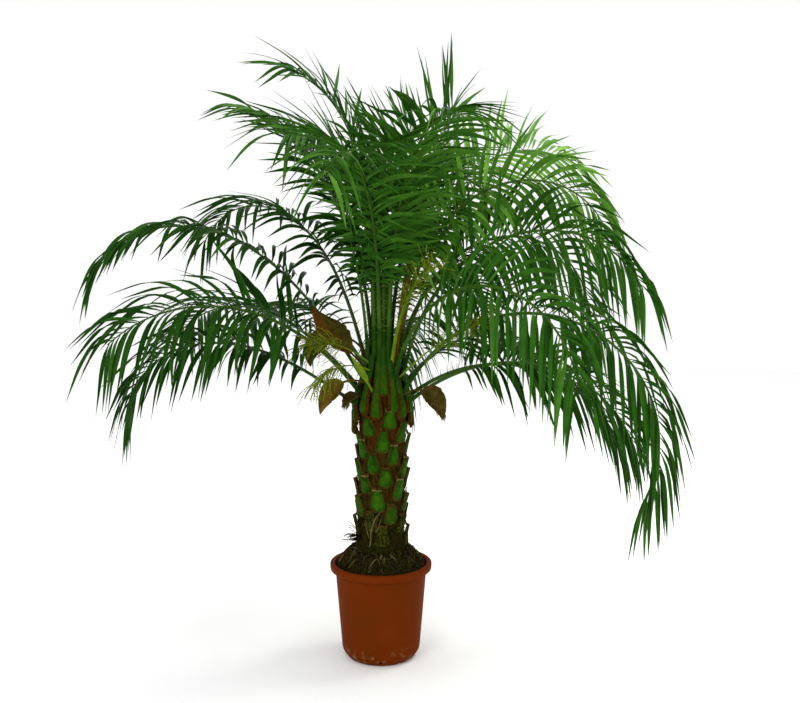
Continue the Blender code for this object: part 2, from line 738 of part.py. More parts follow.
def spear_piece():
    piece = Piece("spear_leaf", "frond_green")
    foot = Vector((lean(HEAD_TOP_HEIGHT), 0, HEAD_TOP_HEIGHT + GAP))
    x, y = Vector((1, 0, 0)), Vector((0, 1, 0))
    steps = len(SPEAR_TAPER) - 1
    rises = [SPEAR_LENGTH * i / steps for i in range(steps + 1)]
    stations = [Station(foot + UP * rise, UP, x, y) for rise in rises]
    sweep(piece.stem, stations, KEEL, [SPEAR_WIDTH * w for w in SPEAR_TAPER], SPEAR_DEPTH)
    piece.close_stem()
    return piece


def main():
    clear_scene()
    home = collection("pygmy_date_palm")
    cutters = collection("cutters")
    rng = random.Random(SEED)
    pot = make_pot(home, cutters)
    soil = make_soil(home)
    trunk = make_trunk(home)
    solids = [tree_of(thing) for thing in (pot, soil, trunk)]

    fronds = [frond_pieces(frond) for frond in FRONDS]
    stalks = [(flower, *flower_piece(flower)) for flower in FLOWERS]
    pieces = [stretch.piece for made in fronds for stretch in made]
    pieces += [piece for _, _, piece in stalks]
    pieces += [bract_piece(bract) for bract in BRACTS]
    pieces.append(spear_piece())

    for flower, path, piece in stalks:
        for number in range(flower.strands):
            share = (number + 0.5) / flower.strands
            trial = strand_trial(path, share, flower, rng)
            grow(piece, trial, STRAND_DEPTH, pieces, solids)
    for frond, made in zip(FRONDS, fronds):
        for number in range(2 * LEAFLET_PAIRS):
            share = (number + 0.5) / (2 * LEAFLET_PAIRS)
            side = 1 if number % 2 else -1
            along = BLADE_START + (1 - BLADE_START) * share
            owner = next(stretch for stretch in made if along <= stretch.end)
            trial = leaflet_trial(frond, owner, share, side, rng)
            grow(owner.piece, trial, LEAFLET_DEPTH, pieces, solids)
    for piece in pieces:
        finished(piece, home)
    for thing in home.objects:
        if not thing.modifiers:
            shaded(thing)


if __name__ == "__main__":
    main()
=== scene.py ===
"""Looks of the potted pygmy date palm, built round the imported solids.

Metres, +Z up. The origin is the middle of the pot's flat underside, and -Y is the front.
Ribs, leaflets, bracts and flower stalks grow by the same rule as the solids, from the same
seats and through the same bends, with many narrow curved leaflets for each broad one.
Angles in the tables are in degrees, and azimuths run anticlockwise from +X.
"""

import random
from collections import namedtuple
from functools import lru_cache
from math import cos, hypot, pi, radians, sin, sqrt, tau

import bpy
import numpy as np
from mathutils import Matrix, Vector, noise


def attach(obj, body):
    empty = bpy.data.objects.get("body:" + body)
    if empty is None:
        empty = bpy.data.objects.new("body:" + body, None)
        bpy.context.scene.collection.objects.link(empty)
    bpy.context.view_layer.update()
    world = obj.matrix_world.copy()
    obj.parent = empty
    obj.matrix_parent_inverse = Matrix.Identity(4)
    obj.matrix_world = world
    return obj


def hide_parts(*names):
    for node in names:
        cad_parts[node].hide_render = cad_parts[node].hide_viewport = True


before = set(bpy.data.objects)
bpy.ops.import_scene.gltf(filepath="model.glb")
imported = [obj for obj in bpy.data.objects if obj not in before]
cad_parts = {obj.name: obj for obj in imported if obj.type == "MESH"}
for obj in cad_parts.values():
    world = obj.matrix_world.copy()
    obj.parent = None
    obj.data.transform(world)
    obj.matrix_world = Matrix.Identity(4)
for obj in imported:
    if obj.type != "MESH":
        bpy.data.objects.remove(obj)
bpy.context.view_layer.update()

SEED = 11
UP = np.array((0.0, 0.0, 1.0))
LEVEL = np.array((1, 1, 0))

# ---- sizes, as in the solids
SEAT_GAP = 0.0004
POT_HEIGHT = 0.3
POT_RIM_RADIUS = 0.16
POT_LIP_HEIGHT = 0.022
POT_TOP_RADIUS = 0.143
POT_BASE_RADIUS = 0.122
POT_FOOT_RADIUS = 0.104
POT_FOOT_HEIGHT = 0.022
POT_WALL = 0.003
POT_FLOOR = 0.005
DRAIN_HOLES = 6
DRAIN_RADIUS = 0.006
SOIL_EDGE_HEIGHT = 0.29
SOIL_TOP_HEIGHT = 0.345
SOIL_TOP_RADIUS = 0.09
TRUNK_RADIUS = 0.072
TRUNK_FLARE = 0.01
TRUNK_FLARE_HEIGHT = 0.06
TRUNK_LEAN = 0.006
HEAD_HEIGHT = 0.8
HEAD_RADIUS = 0.074
HEAD_TOP_HEIGHT = 1.03
HEAD_TOP_RADIUS = 0.018
HEAD_SLOPE = (HEAD_RADIUS - HEAD_TOP_RADIUS) / (HEAD_TOP_HEIGHT - HEAD_HEIGHT)
BOOT_COUNT = 45
BOOT_TURN = radians(137.5)
BOOT_FIRST_HEIGHT = 0.382
BOOT_LAST_HEIGHT = 0.757
BOOT_WIDTH = 0.05
BOOT_TIP_WIDTH = 0.03
BOOT_LENGTH = 0.062
BOOT_STAND = 0.016
PETIOLE_WIDTH = 0.022
RIB_TIP_WIDTH = 0.005
RIB_TAPER = 0.8
BLADE_START = 0.24
LEAFLET_SHORTEST = 0.45
LEAFLET_PHASE = (0.12, 0.82)
LEAFLET_SPREAD = (72, 30)
LEAFLET_LIFT = radians(18)
LEAFLET_STEEP_HANG = 0.75
STALK_BOW = 1.2
STRAND_START = 0.45
STRAND_END = 0.97
BRACT_NECK_WIDTH = 0.012
BRACT_STAND = 0.23  # how far a bract's foot stands off the head, as a share of its neck
BRACT_NECK_TAPER = 0.7
BRACT_BELLY = 0.75
BRACT_TAPER = 0.15
BRACT_CURL = radians(150)
SPEAR_LENGTH = 0.56
SPEAR_WIDTH = 0.014

# ---- sizes of the finer work
RIB_SLIMNESS = 0.8  # of the solid rib's width
LEAFLET_SPACING = 0.0205
LEAFLET_WIDTH = 0.0185
LEAFLET_SEGMENTS = 11
LEAFLET_FOLDS = (55, 18)  # how steeply the halves fold up, at the root and from half-way
SHEATH_LENGTH = 0.068
SHEATH_GROWTH = 0.62  # more length for each metre that a leaf is seated higher
SHEATH_VARIES = 0.028
SHEATH_WIDTH = 0.052
SHEATH_SLOPE = 97
SHEATH_STEPS = 18
SHEATH_FIBRE_ROWS = 11
SHEATH_FRESH_ROWS = 8
PETIOLE_ROWS = 4
SPINE_PAIRS = 7
SPINE_LENGTHS = (0.022, 0.055)
SPINE_HALF_WIDTH = 0.0011
SPEAR_LEAFLETS = 16
BRACT_ROWS = 41
BRACT_COLUMNS = 13  # over the outer face, and as many over the inner
BRACT_WALL = 0.06  # as a share of its width
STALK_BREADTH = 0.016
STALK_POINTS = 31
STRANDS = 64
STRAND_SPREAD = (20, 58)
STRAND_POINTS = 9
STRAND_WIDTHS = (0.0022, 0.0012)
TRUNK_TURNS = 150
TRUNK_ROWS = 210
BOOT_COLUMNS = 13
BOOT_ROWS = 12
RUST_HEIGHT = 0.66  # matted fibre is rust red above this, and brown above the next
BROWN_HEIGHT = 0.47
OLD_BOOT_HEIGHT = 0.455  # leaf bases are fibre below this, and olive below the next
OLIVE_BOOT_HEIGHT = 0.52
FIBRES = 2600
SHREDS = 170
STRAW_THREADS = 7
CURLS = 26
FRINGE_STRIPS = 26
SOIL_ROWS = 46
SOIL_TURNS = 170
SOIL_START_RADIUS = 0.055
CLODS = 700
LITTER = 230

Frond = namedtuple(
    "Frond", "name azimuth seat launch tip bow length leaflet roll droop parts tint")

# the last column picks each frond's leaf colour: partly its own tone and partly painted light,
# darker for the low fronds in shade, and lighter for the backlit upper right fronds and the
# front fronds' highlights
FRONDS = tuple(Frond(*row) for row in (
    ("left_low", 192, 0.8, 35, -90, 2.35, 0.84, 0.24, 23, 1.1, 2, 0.2),
    ("left_front", 200, 0.835, 51, -43, 1.45, 0.87, 0.28, 43, 1.5, 2, 1),
    ("left_mid", 182, 0.88, 57, -69, 2.25, 1.09, 0.21, 8, 1.1, 2, 0.8),
    ("left_back", 152, 0.9, 73, -64, 2.15, 0.98, 0.23, -3, 1.1, 2, 1),
    ("left_high", 192, 0.935, 85, 20, 2.05, 0.87, 0.27, 6, 1, 1, 1.7),
    ("left_high_b", 146, 0.945, 86, 36, 1.35, 0.82, 0.25, 2, 1.1, 2, 1.3),
    ("left_top", 165, 0.985, 89, 18, 3.1, 0.94, 0.25, -2, 0.9, 1, 1.9),
    ("left_over", 227, 0.96, 89, -24, 2.8, 0.84, 0.27, 26, 0.9, 1, 2.3),
    ("left_rear", 116, 0.97, 86, -18, 2.4, 0.86, 0.27, -14, 0.8, 1, 1.8),
    ("front_left", 256, 0.945, 88, -53, 2.1, 0.94, 0.26, 12, 0.7, 1, 2.6),
    ("front_mid", 272, 0.985, 88, -16, 2.5, 0.76, 0.26, 24, 0.1, 1, 2.4),
    ("front_right", 294, 0.95, 86, -22, 2.2, 0.96, 0.28, 0, 0.9, 1, 2.4),
    ("top_mid", 75, 0.985, 89, 37, 1.2, 0.82, 0.27, -32, 0.3, 1, 2),
    ("top_young", 25, 0.96, 82, 66, 1.2, 0.8, 0.29, 60, 0.2, 1, 2.6),
    ("right_upper", 39, 0.92, 84, -28, 1.33, 1.29, 0.27, -42, 0.7, 2, 4.2),
    ("right_high", 6, 0.925, 83, -74, 1.8, 1.1, 0.25, -60, 1.4, 2, 3.4),
    ("right_wide", 18, 0.885, 82, -100, 1.45, 1.1, 0.3, -60, 1.1, 2, 2.4),
    ("right_mid", 352, 0.88, 76, -66, 1.5, 1.04, 0.27, -54, 2, 2, 1.9),
    ("right_bow", 337, 0.84, 59, -116, 1.2, 1.23, 0.27, -30, 1.8, 2, 1.5),
    ("right_low", 358, 0.805, 39, -70, 1.2, 0.84, 0.27, -28, 0.9, 2, 0.9),
    ("right_low_b", 16, 0.815, 37, -68, 1, 0.9, 0.27, -28, 1.4, 2, 0.6),
    ("right_front", 314, 0.893, 73, -76, 1.1, 0.93, 0.27, -54, 1.5, 1, 2),
    ("right_short", 41, 0.84, 39, -60, 1.5, 0.72, 0.25, -18, 0.6, 1, 0.8),
    ("back_right", 62, 0.87, 61, -70, 1.5, 0.96, 0.27, 22, 0.5, 2, 1.6),
    ("back_mid", 85, 0.845, 50, -76, 1.1, 0.88, 0.29, 18, 1.9, 1, 1.4),
    ("back_left", 130, 0.865, 54, -49, 1, 0.98, 0.21, 2, 1, 2, 1.4),
    ("back_high", 97, 0.93, 80, -16, 1.8, 0.98, 0.27, 10, 0.8, 1, 2),
    ("back_high_b", 66, 0.93, 80, -37, 1.6, 1.18, 0.29, 16, 1.5, 2, 2.4),
    ("back_low", 145, 0.825, 42, -52, 1.6, 1.02, 0.29, -13, 1, 1, 0.9),
))

Bract = namedtuple("Bract", "name azimuth seat launch tip length width neck roll finish")

BRACTS = tuple(Bract(*row) for row in (
    ("spathe_large", 197, 0.905, 47, 52, 0.27, 0.08, 0.28, 150, "bract_rust"),
    ("spathe_behind", 171, 0.928, 72, -100, 0.285, 0.074, 0.5, 90, "bract_brown"),
    ("spathe_hanging", 214, 0.868, 22, -85, 0.215, 0.056, 0.4, 90, "bract_tan"),
    ("spathe_ragged", 210, 0.824, 30, -85, 0.085, 0.034, 0.2, 50, "bract_brown"),
    ("spathe_right", 326, 0.826, 40, -96, 0.205, 0.06, 0.4, -80, "bract_brown"),
    ("spathe_green", 244, 0.842, 44, 40, 0.185, 0.02, 0.3, 0, "stalk_green"),
    ("spathe_upright", 327, 0.925, 80, 82, 0.33, 0.026, 0.3, 0, "bract_rust"),
))

TORN_BRACTS = ("spathe_right", "spathe_ragged")

Flower = namedtuple("Flower", "name azimuth seat launch tip length strand droop")

FLOWERS = tuple(Flower(*row) for row in (
    ("flowers_left", 214, 0.925, 40, -8, 0.25, 0.085, 0.3),
    ("flowers_hanging", 228, 0.905, 26, -46, 0.265, 0.078, 1.1),
    ("flowers_centre", 303, 0.905, 82, 24, 0.42, 0.08, 0),
    ("flowers_right", 326, 0.88, 44, 18, 0.36, 0.09, 0.3),
))


# ---- small helpers
def unit(v):
    return v / np.linalg.norm(v, axis=-1, keepdims=True)


def mixed(ends, share):
    return ends[0] + (ends[1] - ends[0]) * share


def even(count):
    """Evenly spaced shares from 0 to 1."""
    return np.linspace(0, 1, count)


def smooth(x):
    x = np.clip(x, 0, 1)
    return x * x * (3 - 2 * x)


def lean(height):
    return TRUNK_LEAN * (height - SOIL_TOP_HEIGHT) / (HEAD_HEIGHT - SOIL_TOP_HEIGHT)


def head_radius(height):
    return HEAD_RADIUS - HEAD_SLOPE * max(0.0, height - HEAD_HEIGHT)


def trunk_radius(height):
    """The trunk's outline over its height, with the flare at its foot."""
    if height > HEAD_HEIGHT:
        return head_radius(height)
    flare = smooth((SOIL_TOP_HEIGHT + TRUNK_FLARE_HEIGHT - height) / TRUNK_FLARE_HEIGHT)
    neck = smooth((height - HEAD_HEIGHT + 0.03) / 0.03)
    return TRUNK_RADIUS + TRUNK_FLARE * flare + (HEAD_RADIUS - TRUNK_RADIUS) * neck


def outward_at(turn):
    """The level direction away from the trunk."""
    return np.array((cos(turn), sin(turn), 0.0))


def round_at(turn):
    """The level direction round the trunk, anticlockwise."""
    return np.array((-sin(turn), cos(turn), 0.0))


def placed(name, data):
    """A new object in the scene."""
    made = bpy.data.objects.new(name, data)
    bpy.context.scene.collection.objects.link(made)
    return made


def ripple(point, scale=1.0, seed=0.0):
    """Smooth noise from about -1 to 1 at a point."""
    return noise.noise(Vector(point) * scale + Vector((seed, seed * 1.7, seed * 0.3)))


class Builder:
    """Gathers parts of one mesh: points, faces and each face's finish."""

    def __init__(self, *finishes):
        self.finishes = list(finishes)
        self.points, self.faces, self.slots = [], [], []
        self.count = 0

    def add(self, points, faces, finish):
        start = self.count
        self.points.append(np.asarray(points, float).reshape(-1, 3))
        self.count += len(self.points[-1])
        self.faces += [tuple(i + start for i in face) for face in faces]
        names = [finish] * len(faces) if isinstance(finish, str) else finish
        self.slots += [self.finishes.index(name) for name in names]

    def piece(self, name, nodes):
        mesh = bpy.data.meshes.new(name)
        mesh.from_pydata(np.concatenate(self.points).tolist(), [], self.faces)
        for finish in self.finishes:
            mesh.materials.append(MATERIALS[finish])
        mesh.polygons.foreach_set("material_index", self.slots)
        mesh.polygons.foreach_set("use_smooth", [True] * len(self.faces))
        mesh.update()
        made = placed(name, mesh)
        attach(made, "root")
        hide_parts(*nodes)


@lru_cache
def grid_faces(rows, columns, closed=False):
    """Quads of a grid of points, row by row; closed joins the last column to the first."""
    faces = []
    for r in range(rows - 1):
        for c in range(columns if closed else columns - 1):
            d = (c + 1) % columns
            faces.append((r * columns + c, r * columns + d,
                          (r + 1) * columns + d, (r + 1) * columns + c))
    return faces


Path = namedtuple("Path", "point along across up")


def path_of(points, alongs, across):
    across = across * np.ones((len(points), 1))
    return Path(points, alongs, across, np.cross(across, alongs))


def arc_path(stem, bow, stand=0, steps=64):
    """Points and directions along a stem that leaves the head at its seat."""
    turn = radians(stem.azimuth)
    outward = outward_at(turn)
    tilt = radians(stem.launch)
    rise = stand * (sin(tilt) - HEAD_SLOPE * cos(tilt))
    reach = head_radius(stem.seat) + SEAT_GAP + rise
    start = outward * reach + UP * stem.seat + np.array((lean(stem.seat), 0, 0))
    nodes = even(steps + 1)

    def heading(shares):
        slope = np.radians(stem.launch + (stem.tip - stem.launch) * shares**bow)[:, None]
        return outward * np.cos(slope) + UP * np.sin(slope)

    hops = heading((nodes[1:] + nodes[:-1]) / 2) * stem.length / steps
    points = np.vstack([start, start + np.cumsum(hops, 0)])
    return path_of(points, heading(nodes), -round_at(turn))


def rolled(path, angles):
    """The path's sections turned about its own direction."""
    c, s = np.cos(angles)[:, None], np.sin(angles)[:, None]
    return Path(path.point, path.along, path.across * c + path.up * s,
                path.up * c - path.across * s)


def at(path, share):
    """The place and directions at a share of a path."""
    x = share * (len(path.point) - 1)
    i = min(int(x), len(path.point) - 2)
    w = x - i
    return Path(*(a[i] * (1 - w) + a[i + 1] * w for a in path))


def part_of(path, shares):
    return Path(*map(np.array, zip(*(at(path, s) for s in shares))))


def rings_on(path, section, widths, depths=1):
    """A section's points at each place on a path, at the widths there."""
    section = np.asarray(section, float)
    halves = np.asarray(widths, float)[:, None, None] / 2
    depths = np.asarray(depths, float) * np.ones(len(path.point))
    return (path.point[:, None]
            + path.across[:, None] * section[None, :, 0, None] * halves
            + path.up[:, None] * section[None, :, 1, None] * halves * depths[:, None, None])


def sweep(into, path, section, widths, depths, finish):
    """A closed skin over a section that follows a path to a point."""
    rings = rings_on(path, section, widths, depths)
    rows, columns = rings.shape[:2]
    end = path.point[-1] + path.along[-1] * widths[-1] / 2
    last = (rows - 1) * columns
    cap = [(last + c, last + (c + 1) % columns, rows * columns) for c in range(columns)]
    if not isinstance(finish, str):
        finish = finish(rows, columns)
        finish += finish[-1:] * columns
    faces = grid_faces(rows, columns, True) + cap
    into.add(np.vstack([rings.reshape(-1, 3), end]), faces, finish)


def strip(into, points, sides, widths, finish):
    """A flat ribbon: points on its middle line, one or more sideways vectors and widths."""
    half = np.asarray(sides) * (np.asarray(widths)[:, None] / 2)
    rows = np.stack([points - half, points + half], 1)
    into.add(rows, grid_faces(len(points), 2), finish)


def faced_strip(into, points, facing, widths, finish):
    """A flat ribbon that faces one way, or its own way at each point."""
    sides = unit(np.cross(unit(np.gradient(points, axis=0)), facing))
    strip(into, points, sides, widths, finish)


# ---- materials
MATERIALS = {}
RAMP_ENDS = (0.30, 0.70)
ROUGHNESS_SPREAD = 0.1


def set_inputs(node, **values):
    for name, value in values.items():
        node.inputs[name.replace("_", " ")].default_value = value


def add_node(made, kind, **values):
    """A new node in a material, with constant values for some of its inputs."""
    new = made.node_tree.nodes.new("ShaderNode" + kind)
    set_inputs(new, **values)
    return new


def wire(made, *joins):
    for start, output, end, entry in joins:
        made.node_tree.links.new(start.outputs[output], end.inputs[entry])


def new_material(name, **values):
    made = bpy.data.materials.new(name)
    made.use_nodes = True
    shader = made.node_tree.nodes["Principled BSDF"]
    set_inputs(shader, **values)
    return made, shader


def colour_of(thousandths):
    return (*(c / 1000 for c in thousandths), 1)


def rough_finish(name, colours, scale, roughness, bump, depth=1, gloss=0.02,
                 stretch=(1, 1, 1), detail=6):
    """A finish that wanders between colours, with uneven gloss and fine relief."""
    made, shader = new_material(name, Specular_IOR_Level=gloss)
    place = add_node(made, "TexCoord")
    mapping = add_node(made, "Mapping", Scale=stretch)
    pattern = add_node(made, "TexNoise", Scale=scale, Detail=detail)
    ramp = add_node(made, "ValToRGB")
    stops = ramp.color_ramp.elements
    stops[0].position, stops[1].position = RAMP_ENDS
    stops[0].color, stops[1].color = colour_of(colours[0]), colour_of(colours[-1])
    for i, colour in enumerate(colours[1:-1], 1):
        stops.new(mixed(RAMP_ENDS, i / (len(colours) - 1))).color = colour_of(colour)
    wear = add_node(made, "MapRange", To_Min=roughness - ROUGHNESS_SPREAD,
                    To_Max=min(1, roughness + ROUGHNESS_SPREAD))
    fine = add_node(made, "TexNoise", Scale=scale * 4, Detail=4)
    relief = add_node(made, "Bump", Strength=bump, Distance=depth / 1000)
    wire(made,
         (place, "Object", mapping, "Vector"), (mapping, "Vector", pattern, "Vector"),
         (pattern, "Fac", ramp, "Fac"), (ramp, "Color", shader, "Base Color"),
         (pattern, "Fac", wear, "Value"), (wear, "Result", shader, "Roughness"),
         (mapping, "Vector", fine, "Vector"), (fine, "Fac", relief, "Height"),
         (relief, "Normal", shader, "Normal"))
    MATERIALS[name] = made
    return made, shader


# Colours are linear, in thousandths. Living leaf comes first, darkest first. The leaf colours
# are partly the leaves' own tones, with young leaves lighter, and partly painted light: the
# darkest ones paint the shade on the low fronds, and the lightest paint the hazy backlight on
# the upper right fronds and the highlights on the front fronds.
LEAF_COLOURS = {
    "leaf_deep": (8.5, 40, 2.8), "leaf_dark": (15, 64, 4.5),
    "leaf_green": (23, 93, 6.5), "leaf_fresh": (45, 145, 11),
    "leaf_light": (90, 240, 26), "leaf_lime": (190, 410, 55)}
LEAF_TINTS = tuple(LEAF_COLOURS)
LEAF_SHADES = (0.8, 1, 1.2)
POT_COLOURS = ((102, 21.5, 1.2), (122, 19, 1), (134, 23, 1.6))
SCUFF_COLOUR = (190, 110, 45)
UPRIGHT = (1, 1, 0.35)  # draws a pattern out along the trunk

# name, colours from dark to light, pattern scale, roughness, relief and its depth in
# millimetres, gloss, stretch
FINISHES = (
    ("rib_green", ((26, 75, 6), (46, 110, 10)), 25, 0.42, 0.15, 1, 0.06),
    ("petiole_green", ((6, 30, 0.8), (12, 50, 1.2), (26, 70, 2)), 22, 0.4, 0.3, 1, 0.04),
    ("spine", ((60, 110, 20), (160, 170, 50)), 60, 0.5, 0.1),
    ("boot_green", ((8, 43, 0.8), (15, 68, 1.2), (26, 70, 2)), 45, 0.55, 0.4, 1.2),
    # a shaded and a lit copy of the leaf-base green, for painted shade and painted light
    ("boot_dark", ((4.5, 20, 0.6), (11, 38, 1), (22, 33, 2)), 60, 0.65, 0.5, 1.2),
    ("boot_fresh", ((17, 74, 1), (33, 96, 1.8)), 45, 0.5, 0.4, 1.2),
    ("boot_olive", ((22, 26, 2), (40, 56, 4)), 70, 0.75, 0.6, 1.2),
    ("base_rim", ((26, 20, 3), (70, 44, 8)), 110, 0.8, 0.6, 1.2),
    ("boot_cut", ((130, 95, 30), (280, 215, 85)), 120, 0.8, 0.5),
    ("fibre_rust", ((34, 11, 1.2), (78, 27, 4)), 130, 0.9, 0.8, 1.5, 0.02, UPRIGHT),
    ("fibre_brown", ((18, 11, 1), (46, 29, 4)), 130, 0.92, 0.8, 1.5, 0.02, UPRIGHT),
    ("fibre_dark", ((6, 7, 0.8), (23, 21, 3)), 120, 0.95, 0.9, 1.5),
    ("dry_straw", ((60, 48, 12), (150, 120, 40)), 80, 0.8, 0.4),
    ("bract_rust", ((60, 27, 3), (140, 58, 8)), 35, 0.7, 0.5, 1.5, 0.02, (1, 1, 0.4)),
    ("bract_olive", ((30, 26, 4), (85, 68, 10)), 35, 0.7, 0.5, 1.5),
    ("bract_brown", ((34, 24, 4), (95, 66, 12)), 45, 0.75, 0.6, 1.5),
    ("bract_tan", ((80, 50, 6), (170, 104, 14)), 40, 0.7, 0.5, 1.5),
    ("stalk_green", ((70, 140, 4), (150, 230, 8)), 30, 0.4, 0.2),
    ("flower_lime", ((70, 110, 3), (170, 210, 12)), 90, 0.55, 0.3),
    ("flower_pale", ((110, 150, 10), (250, 290, 40)), 90, 0.55, 0.3),
    ("soil_dark", ((4.5, 4.5, 1), (14, 12, 3), (30, 24, 8)), 160, 0.95, 1, 2),
    ("soil_clod", ((9, 8, 2), (26, 22, 7)), 160, 0.95, 1, 2),
    ("litter_olive", ((30, 34, 8), (70, 72, 22)), 90, 0.8, 0.5),
)


def make_materials():
    for name, colour in LEAF_COLOURS.items():
        shades = [tuple(c * factor for c in colour) for factor in LEAF_SHADES]
        rough_finish(name, shades, 30, 0.34, 0.15, 0.6, 0.03)
    for row in FINISHES:
        rough_finish(*row)


def pot_finish():
    """Moulded plastic: faint mottling, and tan scuffs that gather at the dusty foot."""
    made, shader = rough_finish("pot_plastic", POT_COLOURS, 7, 0.5, 0.12, 0.8, 0.012, detail=3)
    plain = shader.inputs["Base Color"].links[0].from_node
    place = add_node(made, "TexCoord")
    split = add_node(made, "SeparateXYZ")
    low = add_node(made, "MapRange", From_Min=0.060, From_Max=0.008)
    specks = add_node(made, "TexNoise", Scale=42, Detail=8)
    patch = add_node(made, "MapRange", From_Min=0.52, From_Max=0.64)
    worn = add_node(made, "Math")
    worn.operation = "MULTIPLY"
    paint = add_node(made, "Mix")
    paint.data_type = "RGBA"
    set_inputs(paint, B=colour_of(SCUFF_COLOUR))
    wire(made,
         (place, "Object", split, "Vector"), (split, "Z", low, "Value"),
         (place, "Object", specks, "Vector"), (specks, "Fac", patch, "Value"),
         (low, "Result", worn, 0), (patch, "Result", worn, 1),
         (worn, "Value", paint, "Factor"), (plain, "Color", paint, "A"),
         (paint, "Result", shader, "Base Color"))


# ---- fronds
# a half-round underside and a slightly hollow top
RIB_SECTION = ((-1, 0.02), (-0.86, -0.45), (-0.5, -0.85), (0, -1.0), (0.5, -0.85),
               (0.86, -0.45), (1, 0.02), (0.55, 0.16), (0, 0.10), (-0.55, 0.16))


def rib_width(share):
    return PETIOLE_WIDTH + (RIB_TIP_WIDTH - PETIOLE_WIDTH) * share**RIB_TAPER


def frond_path(frond):
    path = arc_path(frond, frond.bow)
    shares = even(len(path.point))
    return rolled(path, np.radians(frond.roll) * np.minimum(1, shares / BLADE_START))


def sheath_length(frond):
    """Leaves seated higher on the head have longer clasping bases, which end unevenly."""
    uneven = SHEATH_VARIES * cos(radians((frond.azimuth - 256) * 11.25))
    return SHEATH_LENGTH + SHEATH_GROWTH * (frond.seat - HEAD_HEIGHT) + uneven


def sheath_path(frond):
    """The clasping base under the seat, followed down the head, lowest point first."""
    turn = radians(frond.azimuth)
    outward = outward_at(turn)
    points, alongs = [at(frond_path(frond), 0).point], []
    for i in range(SHEATH_STEPS):
        share = (i + 0.5) / SHEATH_STEPS
        slope = radians(mixed((frond.launch, SHEATH_SLOPE), min(1.0, 3 * share)))
        along = outward * cos(slope) + UP * sin(slope)
        alongs.append(along)
        points.append(points[-1] - along * sheath_length(frond) / SHEATH_STEPS)
    points = np.array(points[1:])[::-1]
    # outer, lower-seated bases lie over the inner ones, and all stay on the trunk's skin
    layer = 0.004 + 0.045 * (HEAD_TOP_HEIGHT - frond.seat)
    for i, point in enumerate(points):
        radius = hypot(point[0] - lean(point[2]), point[1])
        least = trunk_radius(point[2]) + layer
        if radius < least:
            points[i] = point + outward * (least - radius)
    return path_of(points, np.array(alongs)[::-1], -round_at(turn))


def rib_finishes(rows, columns):
    """Green, with brown fibre at the foot and along both edges of the clasping base."""
    names = []
    for r in range(rows - 1):
        for c in range(columns):
            out = abs(RIB_SECTION[c][0] + RIB_SECTION[(c + 1) % columns][0]) / 2
            if r == 0 or r < SHEATH_FIBRE_ROWS and out > 0.6:
                names.append("fibre_rust" if (r + c) % 2 else "fibre_brown")
            elif r < SHEATH_FRESH_ROWS:
                names.append("boot_green")
            elif r < SHEATH_STEPS + PETIOLE_ROWS:
                names.append("petiole_green")
            else:
                names.append("rib_green")
    return names


def add_rib(into, frond):
    """The clasping base, the petiole and the rib, in one skin."""
    shares = np.r_[np.linspace(0, 0.2, 9), np.linspace(0.24, 1, 30)]
    main = part_of(frond_path(frond), shares)
    joint = Path(*map(np.concatenate, zip(sheath_path(frond), main)))
    rise = np.arange(SHEATH_STEPS) / SHEATH_STEPS
    foot = np.sqrt(1 - (1 - np.clip(rise / 0.14, 0.08, 1)) ** 2)
    flare = PETIOLE_WIDTH + (SHEATH_WIDTH - PETIOLE_WIDTH) * (1 - rise) ** 2
    slim = 1 - (1 - RIB_SLIMNESS) * smooth(shares / 0.12)
    widths = np.r_[flare * foot, rib_width(shares) * slim]
    depths = np.r_[0.50 + 0.55 * smooth(rise), np.full(len(shares), 1.1)]
    sweep(into, joint, RIB_SECTION, widths, depths, rib_finishes)


def add_spines(into, frond, rng):
    """Slender straight spines on both edges of the petiole."""
    path = frond_path(frond)
    for number in range(SPINE_PAIRS):
        for side in (-1, 1):
            share = mixed((0.07, BLADE_START), (number + rng.random()) / SPINE_PAIRS)
            s = at(path, share)
            spread = radians(rng.uniform(55, 85))
            lift = radians(rng.uniform(5, 40))
            sideways = s.across * side * cos(lift) + s.up * sin(lift)
            along = unit(s.along * cos(spread) + sideways * sin(spread))
            root = s.point + s.across * side * rib_width(share) * 0.36
            length = mixed(SPINE_LENGTHS, number / SPINE_PAIRS) * rng.uniform(0.8, 1.2)
            over = unit(np.cross(along, s.along))
            out = unit(np.cross(over, along))
            wide, deep = over * SPINE_HALF_WIDTH, out * SPINE_HALF_WIDTH
            points = (root + wide, root - wide + deep, root - deep, root + along * length)
            into.add(points, ((0, 1, 3), (1, 2, 3), (2, 0, 3)), "spine")


def leaflet_reach(frond, share):
    """Leaflets are longest a little past the middle of the blade."""
    swell = sin(pi * mixed(LEAFLET_PHASE, share))
    return frond.leaflet * (LEAFLET_SHORTEST + (1 - LEAFLET_SHORTEST) * swell)


